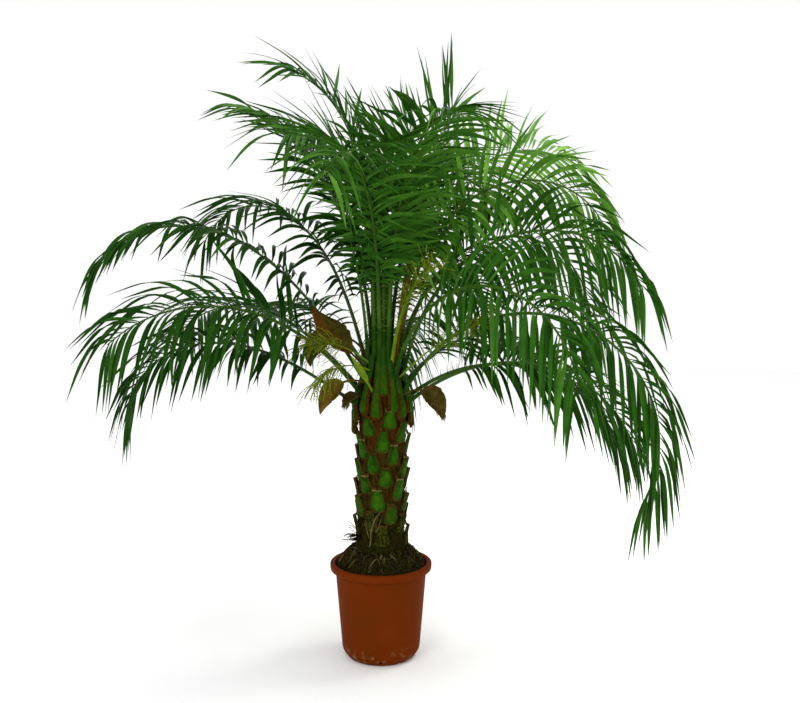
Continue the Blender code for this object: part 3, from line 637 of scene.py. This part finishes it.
def add_leaflet(into, root, first, side, rib_along, length, width, hang, rng, finish):
    """One leaflet: a narrow blade folded along its middle, rounded over and then hanging."""
    t = even(LEAFLET_SEGMENTS + 1)
    middle = (t[1:] + t[:-1]) / 2
    swing = rng.uniform(-0.16, 0.16)
    shoulder = rng.uniform(0.60, 0.85)
    curl = rng.gauss(0, 0.10)

    def heading(x):
        x = x[:, None]
        fall = hang * (0.08 + 1.10 * smooth((x - 0.04) / shoulder))
        return unit(first - UP * fall + rib_along * (swing * x + curl * np.sin(6 * x) * x))

    points = np.vstack([root, root + np.cumsum(heading(middle) * length / LEAFLET_SEGMENTS, 0)])
    alongs = heading(t)
    across = -rib_along * side
    across = unit(across - alongs * (alongs @ across)[:, None])
    twist = radians(rng.gauss(0, 32)) * t[:, None]
    over = np.cross(across, alongs)
    across, over = (across * np.cos(twist) + over * np.sin(twist),
                    over * np.cos(twist) - across * np.sin(twist))
    grow = 0.30 + 0.70 * smooth(t / 0.18)
    taper = 1 - np.clip((t - 0.34) / 0.66, 0, 1) ** 1.6
    half = (width / 2 * np.maximum(grow * taper, 0.03))[:, None]
    fold = np.radians(mixed(LEAFLET_FOLDS, smooth(t / 0.5)))[:, None]
    sideways = across * half * np.cos(fold)
    lift = over * half * np.sin(fold)
    rows = np.stack([points - sideways + lift, points, points + sideways + lift], 1)
    into.add(rows, grid_faces(len(t), 3), finish)


def tint_of(frond, share, rng):
    """The frond's own colour, which is partly painted light, with some leaflets lighter or
    darker at random and lighter towards the frond's tip.
    """
    place = frond.tint + rng.gauss(0, 0.55) + 0.35 * (share - 0.5)
    return LEAF_TINTS[min(max(int(round(place)), 0), len(LEAF_TINTS) - 1)]


def add_leaflets(into, frond, rng):
    path = frond_path(frond)
    count = round(frond.length * (1 - BLADE_START) / LEAFLET_SPACING)
    for side in (-1, 1):
        for number in range(count):
            share = (number + 0.5 + rng.uniform(-0.38, 0.38)) / count
            along_rib = BLADE_START + (1 - BLADE_START) * share
            s = at(path, along_rib)
            s = Path(s.point, unit(s.along), unit(s.across), unit(s.up))
            spread = radians(mixed(LEAFLET_SPREAD, share) + rng.gauss(0, 4))
            length = leaflet_reach(frond, share) * rng.uniform(0.88, 1.08)
            lift = LEAFLET_LIFT + radians(rng.gauss(0, 9))
            sideways = s.across * side * cos(lift) + s.up * sin(lift)
            first = s.along * cos(spread) + sideways * sin(spread)
            hang = frond.droop * (1 - LEAFLET_STEEP_HANG * first[2]) * rng.uniform(0.75, 1.25)
            root = s.point + s.across * side * rib_width(along_rib) * RIB_SLIMNESS * 0.38
            width = LEAFLET_WIDTH * (1 - 0.3 * share) * rng.uniform(0.82, 1.12)
            young = 0.55 + 0.45 * min(1.0, share / 0.15)
            length *= young
            width *= young
            add_leaflet(into, root, first, side, s.along, length, width, hang, rng,
                        tint_of(frond, share, rng))


def nodes_of(frond):
    """The solids that a frond replaces: two where it bends round a wide gap."""
    parts = ("_base", "_tip") if frond.parts == 2 else ("",)
    return [f"frond_{frond.name}{part}" for part in parts]


def make_fronds():
    groups = {"left": [], "right": [], "front": [], "back": []}
    for frond in FRONDS:
        side = frond.name.split("_")[0]
        groups["front" if side == "top" else side].append(frond)
    for group, fronds in groups.items():
        nodes = [node for frond in fronds for node in nodes_of(frond)]
        ribs = Builder("rib_green", "petiole_green", "boot_green", "fibre_rust", "fibre_brown",
                       "spine")
        blades = Builder(*LEAF_TINTS)
        for frond in fronds:
            rng = random.Random(SEED + 100 * FRONDS.index(frond))
            add_leaflets(blades, frond, rng)
            add_rib(ribs, frond)
            add_spines(ribs, frond, rng)
        ribs.piece(f"ribs_{group}", nodes)
        blades.piece(f"leaflets_{group}", nodes)


def make_spear():
    """The folded newest leaf, standing straight up from the head."""
    into = Builder(*LEAF_TINTS)
    rng = random.Random(SEED + 1)
    foot = np.array((lean(HEAD_TOP_HEIGHT), 0, HEAD_TOP_HEIGHT + 0.0003))
    for number in range(SPEAR_LEAFLETS):
        out = outward_at(number * BOOT_TURN)
        length = SPEAR_LENGTH * rng.uniform(0.6, 0.99)
        t = even(9)
        ring = SPEAR_WIDTH * 0.30 * (1 - 0.5 * t)[:, None]
        points = foot + UP * (length * t)[:, None] + out * ring
        widths = 0.009 * (1 - t**2) + 0.0008
        strip(into, points, np.cross(out, UP), widths, LEAF_TINTS[3 + number % 2])
    into.piece("spear_leaflets", ("spear_leaf",))


# ---- bracts and flowers
def bract_finishes(bract, rows, columns, belly):
    """The bract's own colour; a rusty one is olive inside and along a ragged border."""
    last = columns - 1
    finish = []
    for r in range(rows - 1):
        two_tone = bract.finish == "bract_rust" and belly[r] > 0.1
        for c in range(columns):
            column = c if c < BRACT_COLUMNS else last - c
            border = 7 + 3 * ripple((r * 0.25, column * 0.2, bract.seat * 50))
            finish.append("bract_olive" if two_tone and column > border else bract.finish)
    return finish


def make_bracts():
    """Boat-shaped bracts: a thin neck, then a curled shell with pleats and a torn margin."""
    turns = BRACT_CURL * (even(BRACT_COLUMNS) - 0.5)
    outer = np.stack([np.sin(turns), -np.cos(turns)], 1)
    inner = outer * (1 - BRACT_WALL) + (0, BRACT_WALL)
    section = np.vstack([outer, inner[::-1]]) + (0, (1 + cos(BRACT_CURL / 2)) / 2)
    middle = (BRACT_COLUMNS - 1) // 2
    for bract in BRACTS:
        into = Builder(bract.finish, "bract_olive")
        path = arc_path(bract, STALK_BOW, BRACT_NECK_WIDTH * BRACT_STAND, BRACT_ROWS - 1)
        shares = even(BRACT_ROWS)
        path = rolled(path, np.radians(bract.roll) * shares)
        swell = np.clip((shares - bract.neck) / (1 - bract.neck), 0, 1)
        belly = np.sin(pi * swell**BRACT_BELLY) * (1 - BRACT_TAPER * swell)
        widths = BRACT_NECK_WIDTH * (1 - BRACT_NECK_TAPER * shares) + bract.width * belly
        rings = rings_on(path, section, widths)
        rows, columns = rings.shape[:2]
        for i in range(rows):
            tear = ripple((i * 0.55, bract.azimuth, 0.0))
            for j in range(columns):
                column = j if j < BRACT_COLUMNS else columns - 1 - j
                edge = (column - middle) / middle
                wave = ripple((column * 1.3, i * 0.12, bract.seat * 9))
                pleat = path.up[i] * wave * 0.0012
                margin = path.across[i] * edge * tear * edge**4 * 0.006
                rings[i, j] += (pleat - margin) * belly[i]
        into.add(rings, grid_faces(rows, columns, True),
                 bract_finishes(bract, rows, columns, belly))
        if bract.name in TORN_BRACTS:
            add_fringe(into, path, bract, random.Random(SEED + bract.azimuth))
        into.piece(f"{bract.name}_shell", (bract.name,))


def add_fringe(into, path, bract, rng):
    """Torn ends of a dead bract: narrow strips that hang from its outer half."""
    for _ in range(FRINGE_STRIPS):
        s = at(path, rng.uniform(0.62, 0.98))
        root = s.point + s.across * rng.uniform(-0.3, 0.3) * bract.width
        t = even(5)[:, None]
        length = rng.uniform(0.010, 0.026)
        drift = np.array((rng.uniform(-0.3, 0.3), rng.uniform(-0.3, 0.3), -1.0))
        points = root + drift * length * t
        sides = unit(np.cross(drift, s.up))
        widths = rng.uniform(0.0015, 0.0040) * (1 - t[:, 0] ** 2) + 0.0004
        strip(into, points, sides, widths, rng.choice((bract.finish, "bract_olive")))


def add_bead(into, centre, size, finish):
    """A flower bud: eight faces round a point."""
    x, y, z = np.eye(3) * size
    points = [centre + x, centre + y, centre - x, centre - y, centre + z, centre - z]
    faces = [(i, (i + 1) % 4, 4) for i in range(4)] + [((i + 1) % 4, i, 5) for i in range(4)]
    into.add(points, faces, finish)


STRAND_SECTION = ((1, 0), (0, 1), (-1, 0), (0, -1))


def add_strand(into, start, flower, rng):
    """A thin wavy strand with buds along it, from a place on the flower stalk."""
    turn = rng.uniform(0, tau)
    sideways = start.across * cos(turn) + start.up * sin(turn)
    spread = radians(rng.uniform(*STRAND_SPREAD))
    first = unit(start.along * cos(spread) + sideways * sin(spread))
    hop = flower.strand * rng.uniform(0.55, 1.1) / (STRAND_POINTS - 1)
    wobble = rng.uniform(0, 9)
    point, heading = start.point, first
    points, alongs = [], []
    for i in range(STRAND_POINTS):
        x = i / (STRAND_POINTS - 1)
        points.append(point)
        alongs.append(heading)
        sway = np.array((sin(wobble + 5 * x), cos(wobble * 2 + 4 * x), 0))
        heading = unit(first - UP * flower.droop * 1.4 * x + sway * 0.22)
        point = point + heading * hop
    across = unit(np.cross(alongs, UP + 0.01 * first))
    strand = path_of(np.array(points), np.array(alongs), across)
    tone = "flower_lime" if rng.random() < 0.6 else "flower_pale"
    sweep(into, strand, STRAND_SECTION, np.linspace(*STRAND_WIDTHS, STRAND_POINTS), 1, tone)
    for i in range(2, STRAND_POINTS):
        place = points[i] + across[i] * rng.choice((-1, 1)) * 0.0016
        add_bead(into, place, rng.uniform(0.0013, 0.0023), tone)


def make_flowers():
    shares = even(STALK_POINTS)
    widths = STALK_BREADTH * (1 - 0.6 * shares) * (1 - 0.4 * smooth((shares - 0.5) / 0.5))
    for flower in FLOWERS:
        rng = random.Random(SEED + flower.azimuth)
        into = Builder("stalk_green", "flower_lime", "flower_pale")
        path = arc_path(flower, STALK_BOW, steps=STALK_POINTS - 1)
        sweep(into, path, RIB_SECTION, widths, 0.45, "stalk_green")
        for number in range(STRANDS):
            share = mixed((STRAND_START, STRAND_END), (number + 0.5) / STRANDS)
            add_strand(into, at(path, share), flower, rng)
        into.piece(f"{flower.name}_spray", (flower.name,))


# ---- trunk
def on_trunk(turn, height, stand):
    """A point that stands off the trunk's skin."""
    radius = trunk_radius(height) + stand
    return np.array((radius * cos(turn) + lean(height), radius * sin(turn), height))


def fibre_zone(height, wander):
    place = height + 0.05 * wander
    if place > RUST_HEIGHT:
        return "fibre_rust"
    return "fibre_brown" if place > BROWN_HEIGHT else "fibre_dark"


def make_trunk():
    """The stem's matted fibre: criss-cross ridges, rust brown above and dark below."""
    into = Builder("fibre_rust", "fibre_brown", "fibre_dark")
    heights = np.linspace(SOIL_TOP_HEIGHT + 0.0003, HEAD_TOP_HEIGHT - 0.002, TRUNK_ROWS)
    turns = [tau * i / TRUNK_TURNS for i in range(TRUNK_TURNS)]
    points, finish = [], []
    for height in heights:
        for turn in turns:
            x, y = cos(turn), sin(turn)
            weave = sin(9 * turn + height * 260) * sin(13 * turn - height * 310)
            grain = ripple((x, y, height * 9), 5.0)
            shred = ripple((x * 3, y * 3, height * 8), 6.0, 3.0)
            stand = 0.0012 * weave + 0.0028 * grain + 0.0016 * shred
            points.append(on_trunk(turn, height, stand - 0.001))
            finish.append(fibre_zone(height, ripple((x, y, height * 5), 4.0, 7.0)))
    into.add(points, grid_faces(TRUNK_ROWS, TRUNK_TURNS, True), finish[:-TRUNK_TURNS])
    into.piece("trunk_fibre", ("trunk",))


def boot_finish(age, rim, light, rng):
    """Old leaf bases are dark fibre, then olive; younger ones are green with a brown rim, in a
    lit copy where the light value is high and a shaded copy where it is low, as painted light
    and shade.
    """
    if age < OLD_BOOT_HEIGHT:
        return "fibre_dark" if rim else rng.choice(("fibre_dark", "boot_olive"))
    if rim:
        return "base_rim"
    if age < OLIVE_BOOT_HEIGHT:
        return rng.choice(("boot_olive", "boot_green"))
    return "boot_fresh" if light > 0.95 else "boot_green" if light > 0.30 else "boot_dark"


def add_boot(into, number, rng):
    """A stub of an old leaf base: a green shield, wide at its rounded foot, cut at the top."""
    height = mixed((BOOT_FIRST_HEIGHT, BOOT_LAST_HEIGHT), number / (BOOT_COUNT - 1))
    turn = number * BOOT_TURN + rng.uniform(-0.04, 0.04)
    height += rng.uniform(-0.004, 0.004)
    age = height + rng.uniform(-0.035, 0.035)
    length = BOOT_LENGTH * rng.uniform(0.92, 1.14)
    wide = BOOT_WIDTH * rng.uniform(1.18, 1.42)
    tip = BOOT_TIP_WIDTH * rng.uniform(0.74, 0.98)
    skew = rng.uniform(-0.004, 0.004)
    fade = rng.uniform(-0.35, 0.35)
    acrosses = [2 * c / (BOOT_COLUMNS - 1) - 1 for c in range(BOOT_COLUMNS)]
    points, finish = [], []
    for r in range(BOOT_ROWS):
        v = r / (BOOT_ROWS - 1)
        foot = sqrt(max(0.30, 1 - (1 - min(1.0, v / 0.16)) ** 2))
        width = mixed((tip, wide), (1 - v) ** 1.3) * foot
        for u in acrosses:
            stand = mixed((-0.001, BOOT_STAND - 0.003), v**1.3)
            stand += 0.0055 * (1 - u * u) * foot - 0.004 * abs(u) ** 5
            stand += 0.0010 * ripple((u * 2, v * 2, number * 3.1), 1.6)
            angle = turn + (u * width / 2 + skew * v) / TRUNK_RADIUS
            ragged = 0.004 * ripple((u * 5, number, 1.0), 1.3) * (r == BOOT_ROWS - 1)
            points.append(on_trunk(angle, height + length * (v - 0.5) + ragged, stand))
    middle = BOOT_COLUMNS / 2 - 1
    for r in range(BOOT_ROWS - 1):
        for c in range(BOOT_COLUMNS - 1):
            rim = c in (0, BOOT_COLUMNS - 2) or r == 0 or r == 1 and abs(c - middle) > 3
            v, u = r / (BOOT_ROWS - 2), (c - middle) / middle
            # painted light and shade: lighter in the middle of the shield, darker towards its
            # sides, its foot and its cut top, with random mottle and a random shift for each
            # base
            light = 1.2 - 1.1 * abs(u) ** 2 - 1.4 * abs(v - 0.45) + fade
            light += 0.7 * ripple((u * 2, v * 2, number * 5.3))
            finish.append(boot_finish(age, rim, light, rng))
    into.add(points, grid_faces(BOOT_ROWS, BOOT_COLUMNS), finish)
    # the cut, from its outer edge back towards the trunk, and the torn sheath behind it
    outer = np.array(points[-BOOT_COLUMNS:])
    back, tall = [], []
    for c, u in enumerate(acrosses):
        radial = outward_at(turn + u * tip / 2 / TRUNK_RADIUS)
        back.append(outer[c] - radial * 0.0085 * (1 - 0.7 * u * u) + UP * 0.002)
        torn = 0.005 + 0.006 * ripple((c * 1.7, number, 4.0)) + 0.004 * abs(u)
        tall.append(back[c] + UP * torn - radial * 0.003)
    pale = age > 0.50 and rng.random() < 0.55
    faces = grid_faces(2, BOOT_COLUMNS)
    into.add(np.vstack([outer, back]), faces, "boot_cut" if pale else "base_rim")
    into.add(np.vstack([back, tall]), faces, "base_rim")
    # shreds of dead sheath that stand off at both sides
    for side in (-1, 1):
        if rng.random() < 0.8:
            low = height + length * rng.uniform(-0.35, 0.25)
            start = turn + side * wide * rng.uniform(0.40, 0.55) / TRUNK_RADIUS
            shade = rng.choice(("fibre_rust", "fibre_brown")) if age > 0.5 else "fibre_dark"
            add_shred(into, start, low, side, rng, shade)


def add_shred(into, turn, height, side, rng, finish, size=1.0):
    """A pointed flap of dead sheath, held at its foot and curling outward."""
    length = rng.uniform(0.018, 0.036) * size
    out = rng.uniform(0.006, 0.014) * size
    wide = rng.uniform(0.006, 0.011) * size
    shares = even(6)
    angles = turn + side * 0.010 * shares**2 / TRUNK_RADIUS
    points = [on_trunk(angle, height + length * t, 0.001 + out * t**1.6)
              for angle, t in zip(angles, shares)]
    sides = [round_at(angle) for angle in angles]
    strip(into, np.array(points), sides, wide * (1 - shares**1.5) + 0.0006, finish)


def add_fibre(into, turn, height, length, slope, stand, width, finish, rng):
    """A loose flat fibre that lies on the trunk and lifts off it at its end."""
    lift = rng.uniform(0.0, 0.010)
    rise, swing = length * sin(slope), length * cos(slope) / TRUNK_RADIUS
    shares = even(6)
    points = np.array([on_trunk(turn + swing * t, height + rise * t, stand + lift * t * t)
                       for t in shares])
    faced_strip(into, points, unit(points * LEVEL), width * (1 - 0.8 * shares**2), finish)


# azimuth, height, distance from the trunk's skin and width, from its top down
STRAW_STRIP = (
    (272, 0.480, 0.010, 0.001), (264, 0.470, 0.013, 0.003), (257, 0.452, 0.015, 0.005),
    (252, 0.430, 0.015, 0.005), (249, 0.408, 0.014, 0.004), (250, 0.388, 0.013, 0.004),
    (248, 0.368, 0.012, 0.002))


def make_leaf_bases():
    """The cut leaf bases in their spiral, and the loose fibre, shreds and straw on them."""
    rng = random.Random(SEED + 2)
    into = Builder("boot_green", "boot_dark", "boot_fresh", "boot_olive", "base_rim",
                   "boot_cut", "fibre_rust", "fibre_brown", "fibre_dark", "dry_straw")
    for number in range(BOOT_COUNT):
        add_boot(into, number, rng)
    for _ in range(FIBRES):
        height = rng.uniform(SOIL_TOP_HEIGHT + 0.01, 0.985)
        slope = rng.choice((-1, 1)) * radians(rng.uniform(20, 80))
        zone = fibre_zone(height, rng.uniform(-1, 1))
        add_fibre(into, rng.uniform(0, tau), height, rng.uniform(0.012, 0.036), slope,
                  rng.uniform(0.0003, 0.0035), rng.uniform(0.0005, 0.0018), zone, rng)
    # shreds all over, thickest near the foot
    for _ in range(SHREDS):
        height = mixed((SOIL_TOP_HEIGHT + 0.01, 0.76), rng.random() ** 1.3)
        zone = fibre_zone(height, rng.uniform(-1, 1))
        add_shred(into, rng.uniform(0, tau), height, rng.choice((-1, 1)), rng, zone,
                  rng.uniform(0.7, 1.2))
    # a dry strip of sheath that winds down the front, and paler threads by it
    for _ in range(STRAW_THREADS):
        add_fibre(into, radians(rng.uniform(240, 262)), rng.uniform(0.375, 0.44),
                  rng.uniform(0.03, 0.070), radians(rng.uniform(65, 110)), 0.009,
                  rng.uniform(0.0008, 0.0022), "dry_straw", rng)
    line = np.array([on_trunk(radians(a), z, out) for a, z, out, _ in STRAW_STRIP])
    faced_strip(into, line, unit(line * LEVEL), [row[3] for row in STRAW_STRIP], "dry_straw")
    # dead fibres that curl out over the pot's left side
    for _ in range(CURLS):
        add_curl(into, radians(rng.uniform(172, 215)), rng.uniform(0.372, 0.398), rng)
    into.piece("trunk_leaf_bases", ("trunk",))


def add_curl(into, turn, height, rng):
    """A dead fibre that leaves the trunk, rises a little and curls down at its end."""
    reach = rng.uniform(0.024, 0.056)
    lift = rng.uniform(-0.008, 0.020)
    outward = outward_at(turn)
    t = even(8)[:, None]
    swing = round_at(turn) * rng.uniform(-0.012, 0.012)
    line = (on_trunk(turn, height, 0.0) + outward * reach * t
            + UP * (lift * np.sin(2.6 * t) * 1.6) + swing * t * t)
    facing = UP + outward * rng.uniform(-1, 1)
    widths = rng.uniform(0.004, 0.012) * (1 - t[:, 0] ** 2) + 0.0010
    tone = rng.choice(("fibre_dark", "fibre_dark", "fibre_brown"))
    faced_strip(into, line, facing, widths, tone)


# ---- pot and soil
def pot_outer(height):
    """The pot's outer radius between its foot and its lip."""
    share = (height - POT_FOOT_HEIGHT) / (POT_HEIGHT - POT_LIP_HEIGHT - POT_FOOT_HEIGHT)
    return POT_BASE_RADIUS + (POT_TOP_RADIUS - POT_BASE_RADIUS) * share


def round_corner(corner, before, after, size):
    """Points that round a corner of an outline off."""
    a = corner + unit(before - corner) * size
    b = corner + unit(after - corner) * size
    t = even(7)[:, None]
    return list(a * (1 - t) ** 2 + corner * 2 * t * (1 - t) + b * t**2)


def applied(thing):
    """The same object with its modifiers made part of its mesh."""
    graph = bpy.context.evaluated_depsgraph_get()
    mesh = bpy.data.meshes.new_from_object(thing.evaluated_get(graph))
    thing.modifiers.clear()
    thing.data = mesh
    return thing


def turned(name, outline, steps):
    """A mesh turned about the pot's axis from an outline of radii and heights."""
    mesh = bpy.data.meshes.new(name)
    edges = [(i, i + 1) for i in range(len(outline) - 1)]
    mesh.from_pydata([(r, 0, z) for r, z in outline], edges, [])
    made = placed(name, mesh)
    screw = made.modifiers.new("turn", "SCREW")
    screw.steps = screw.render_steps = steps
    screw.use_merge_vertices = True
    screw.merge_threshold = 0.0001
    return applied(made)


def make_pot():
    """A turned shell with a rolled lip and soft corners, with drain holes round its foot."""
    top = POT_HEIGHT - POT_LIP_HEIGHT
    rough = np.array([
        (0, POT_FLOOR),
        (POT_FOOT_RADIUS, POT_FLOOR),
        (pot_outer(POT_FOOT_HEIGHT + POT_FLOOR) - POT_WALL, POT_FOOT_HEIGHT + POT_FLOOR),
        (pot_outer(top) - POT_WALL, top),
        (pot_outer(top) - POT_WALL + 0.004, POT_HEIGHT),
        (POT_RIM_RADIUS, POT_HEIGHT),
        (POT_RIM_RADIUS - 0.001, top),
        (POT_TOP_RADIUS, top - 0.003),
        (POT_BASE_RADIUS, POT_FOOT_HEIGHT),
        (POT_FOOT_RADIUS, 0),
        (0, 0),
    ])
    sizes = {2: 0.006, 4: 0.004, 5: 0.006, 6: 0.005, 7: 0.003, 8: 0.012, 9: 0.006}
    outline = []
    for i, corner in enumerate(rough):
        if i in sizes:
            outline += round_corner(corner, rough[i - 1], rough[i + 1], sizes[i])
        else:
            outline.append(corner)
    pot = turned("pot_shell", outline, 128)
    pot.data.materials.append(MATERIALS["pot_plastic"])
    middle = (POT_FOOT_RADIUS + POT_BASE_RADIUS) / 2
    for i in range(DRAIN_HOLES):
        bpy.ops.mesh.primitive_cylinder_add(
            vertices=20, radius=DRAIN_RADIUS, depth=0.06,
            location=outward_at(tau * (i + 0.5) / DRAIN_HOLES) * middle)
        cutter = bpy.context.object
        pot.modifiers.new("drain", "BOOLEAN").object = cutter
        applied(pot)
        bpy.data.objects.remove(cutter, do_unlink=True)
    pot.data.shade_smooth()
    pot.data.set_sharp_from_angle(angle=radians(38))
    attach(pot, "root")
    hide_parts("pot")


def soil_height(radius):
    """The soil lies highest round the trunk and falls towards the pot's wall."""
    edge = pot_outer(SOIL_EDGE_HEIGHT) - POT_WALL
    share = np.clip((radius - SOIL_TOP_RADIUS) / (edge - SOIL_TOP_RADIUS), 0, 1)
    return mixed((SOIL_TOP_HEIGHT, SOIL_EDGE_HEIGHT), share**1.2)


def add_soil_surface(into, edge):
    points = []
    for radius in np.linspace(SOIL_START_RADIUS, edge, SOIL_ROWS):
        calm = min(1, (edge - radius) / 0.006 + 0.2)
        for i in range(SOIL_TURNS):
            x, y, _ = outward_at(tau * i / SOIL_TURNS) * radius
            bump = 0.004 * ripple((x, y, 0.0), 45) + 0.0035 * ripple((x, y, 1.0), 130)
            points.append((x, y, soil_height(radius) + bump * calm))
    into.add(points, grid_faces(SOIL_ROWS, SOIL_TURNS, True), "soil_dark")


def add_clod(into, edge, rng):
    """A small irregular lump of soil or bark."""
    radius = mixed((0.085, edge - 0.006), sqrt(rng.random()))
    turn = rng.uniform(0, tau)
    size = rng.uniform(0.002, 0.0065)
    centre = outward_at(turn) * radius + UP * (soil_height(radius) + size * 0.3)
    tone = "soil_clod" if rng.random() < 0.8 else "fibre_brown"
    stretch = np.array([rng.uniform(0.6, 1.3) for _ in range(3)])
    jitter = np.array([rng.uniform(0.75, 1.2) for _ in range(12)])[:, None]
    into.add(centre + CLOD_CORNERS * stretch * jitter * size, CLOD_FACES, tone)


def add_litter(into, edge, rng):
    """A curled bit of dead leaf, straw or twig lying on the soil."""
    radius = rng.uniform(0.090, edge - 0.012)
    turn = rng.uniform(0, tau)
    angle = rng.uniform(0, tau)
    length = rng.uniform(0.012, 0.045)
    curl = radians(rng.uniform(-60, 60))
    count = 7
    line = []
    x, y = radius * cos(turn), radius * sin(turn)
    for i in range(count):
        far = hypot(x, y)
        reach = min(far, edge - 0.006)
        arch = 0.004 * sin(pi * i / (count - 1)) * rng.uniform(0.6, 1.2)
        x, y = x * reach / far, y * reach / far
        line.append((x, y, soil_height(reach) + 0.0045 + arch))
        angle += curl / count
        x += cos(angle) * length / count
        y += sin(angle) * length / count
    facing = UP + 0.6 * np.array((rng.uniform(-1, 1), rng.uniform(-1, 1), 0))
    wide = rng.choice((0.0012, 0.0012, 0.0022, 0.005))
    tone = rng.choice(("litter_olive", "litter_olive", "fibre_brown", "dry_straw"))
    faced_strip(into, line, facing, wide * np.sin(np.linspace(0.3, 2.9, count)), tone)


# an icosahedron
GOLDEN = (1 + 5**0.5) / 2
CLOD_PLANE = np.array([(-1, GOLDEN, 0), (1, GOLDEN, 0), (-1, -GOLDEN, 0), (1, -GOLDEN, 0)])
CLOD_CORNERS = unit(np.vstack([np.roll(CLOD_PLANE, shift, 1) for shift in range(3)]))
CLOD_FACES = (
    (0, 11, 5), (0, 5, 1), (0, 1, 7), (0, 7, 10), (0, 10, 11), (1, 5, 9), (5, 11, 4),
    (11, 10, 2), (10, 7, 6), (7, 1, 8), (3, 9, 4), (3, 4, 2), (3, 2, 6), (3, 6, 8),
    (3, 8, 9), (4, 9, 5), (2, 4, 11), (6, 2, 10), (8, 6, 7), (9, 8, 1))


def make_soil():
    rng = random.Random(SEED + 3)
    into = Builder("soil_dark", "soil_clod", "litter_olive", "dry_straw", "fibre_brown")
    edge = pot_outer(SOIL_EDGE_HEIGHT) - POT_WALL - SEAT_GAP
    add_soil_surface(into, edge)
    for _ in range(CLODS):
        add_clod(into, edge, rng)
    for _ in range(LITTER):
        add_litter(into, edge, rng)
    into.piece("soil_surface", ("soil",))


# ---- stage
CAMERA_PLACE = (0.06, -3.0, 1.245)
CAMERA_DIP = radians(5.37)
CAMERA_LENS = 43.875
FLOOR_COLOUR = (0.98, 0.98, 0.978, 1)
LIT_POINT = (0, 0, 1.1)


def area_light(name, place, size, power, colour):
    data = bpy.data.lights.new(name, "AREA")
    data.shape = "DISK"
    data.size = size
    data.energy = power
    data.color = colour
    lamp = placed(name, data)
    lamp.location = place
    towards = Vector(LIT_POINT) - Vector(place)
    lamp.rotation_euler = towards.to_track_quat("-Z", "Y").to_euler()


def make_stage():
    """A pale floor, an even white studio, a soft key and fill, and the photograph's view."""
    scene = bpy.context.scene
    bpy.ops.mesh.primitive_circle_add(vertices=96, radius=9, fill_type="NGON",
                                      location=(0, 0, -0.0005))
    floor = bpy.context.object
    floor.name = "floor"
    pale, _ = new_material("pale_floor", Base_Color=FLOOR_COLOUR, Roughness=0.9,
                           Specular_IOR_Level=0)
    floor.data.materials.append(pale)
    world = bpy.data.worlds.new("studio")
    scene.world = world
    world.use_nodes = True
    set_inputs(world.node_tree.nodes["Background"], Color=(1, 1, 1, 1), Strength=1)
    area_light("key", (2.6, 1.2, 4.2), 1.6, 130, (1.0, 0.99, 0.94))
    area_light("fill", (-1.8, -3.2, 2.6), 2.0, 40, (0.95, 0.98, 1.0))
    camera = bpy.data.cameras.new("camera")
    camera.sensor_width = 36
    camera.lens = CAMERA_LENS
    viewer = placed("camera", camera)
    viewer.location = CAMERA_PLACE
    viewer.rotation_euler = (radians(90) - CAMERA_DIP, 0, 0)
    scene.camera = viewer
    scene.view_settings.view_transform = "Standard"


make_materials()
pot_finish()
make_pot()
make_soil()
make_trunk()
make_leaf_bases()
make_bracts()
make_flowers()
make_spear()
make_fronds()
make_stage()
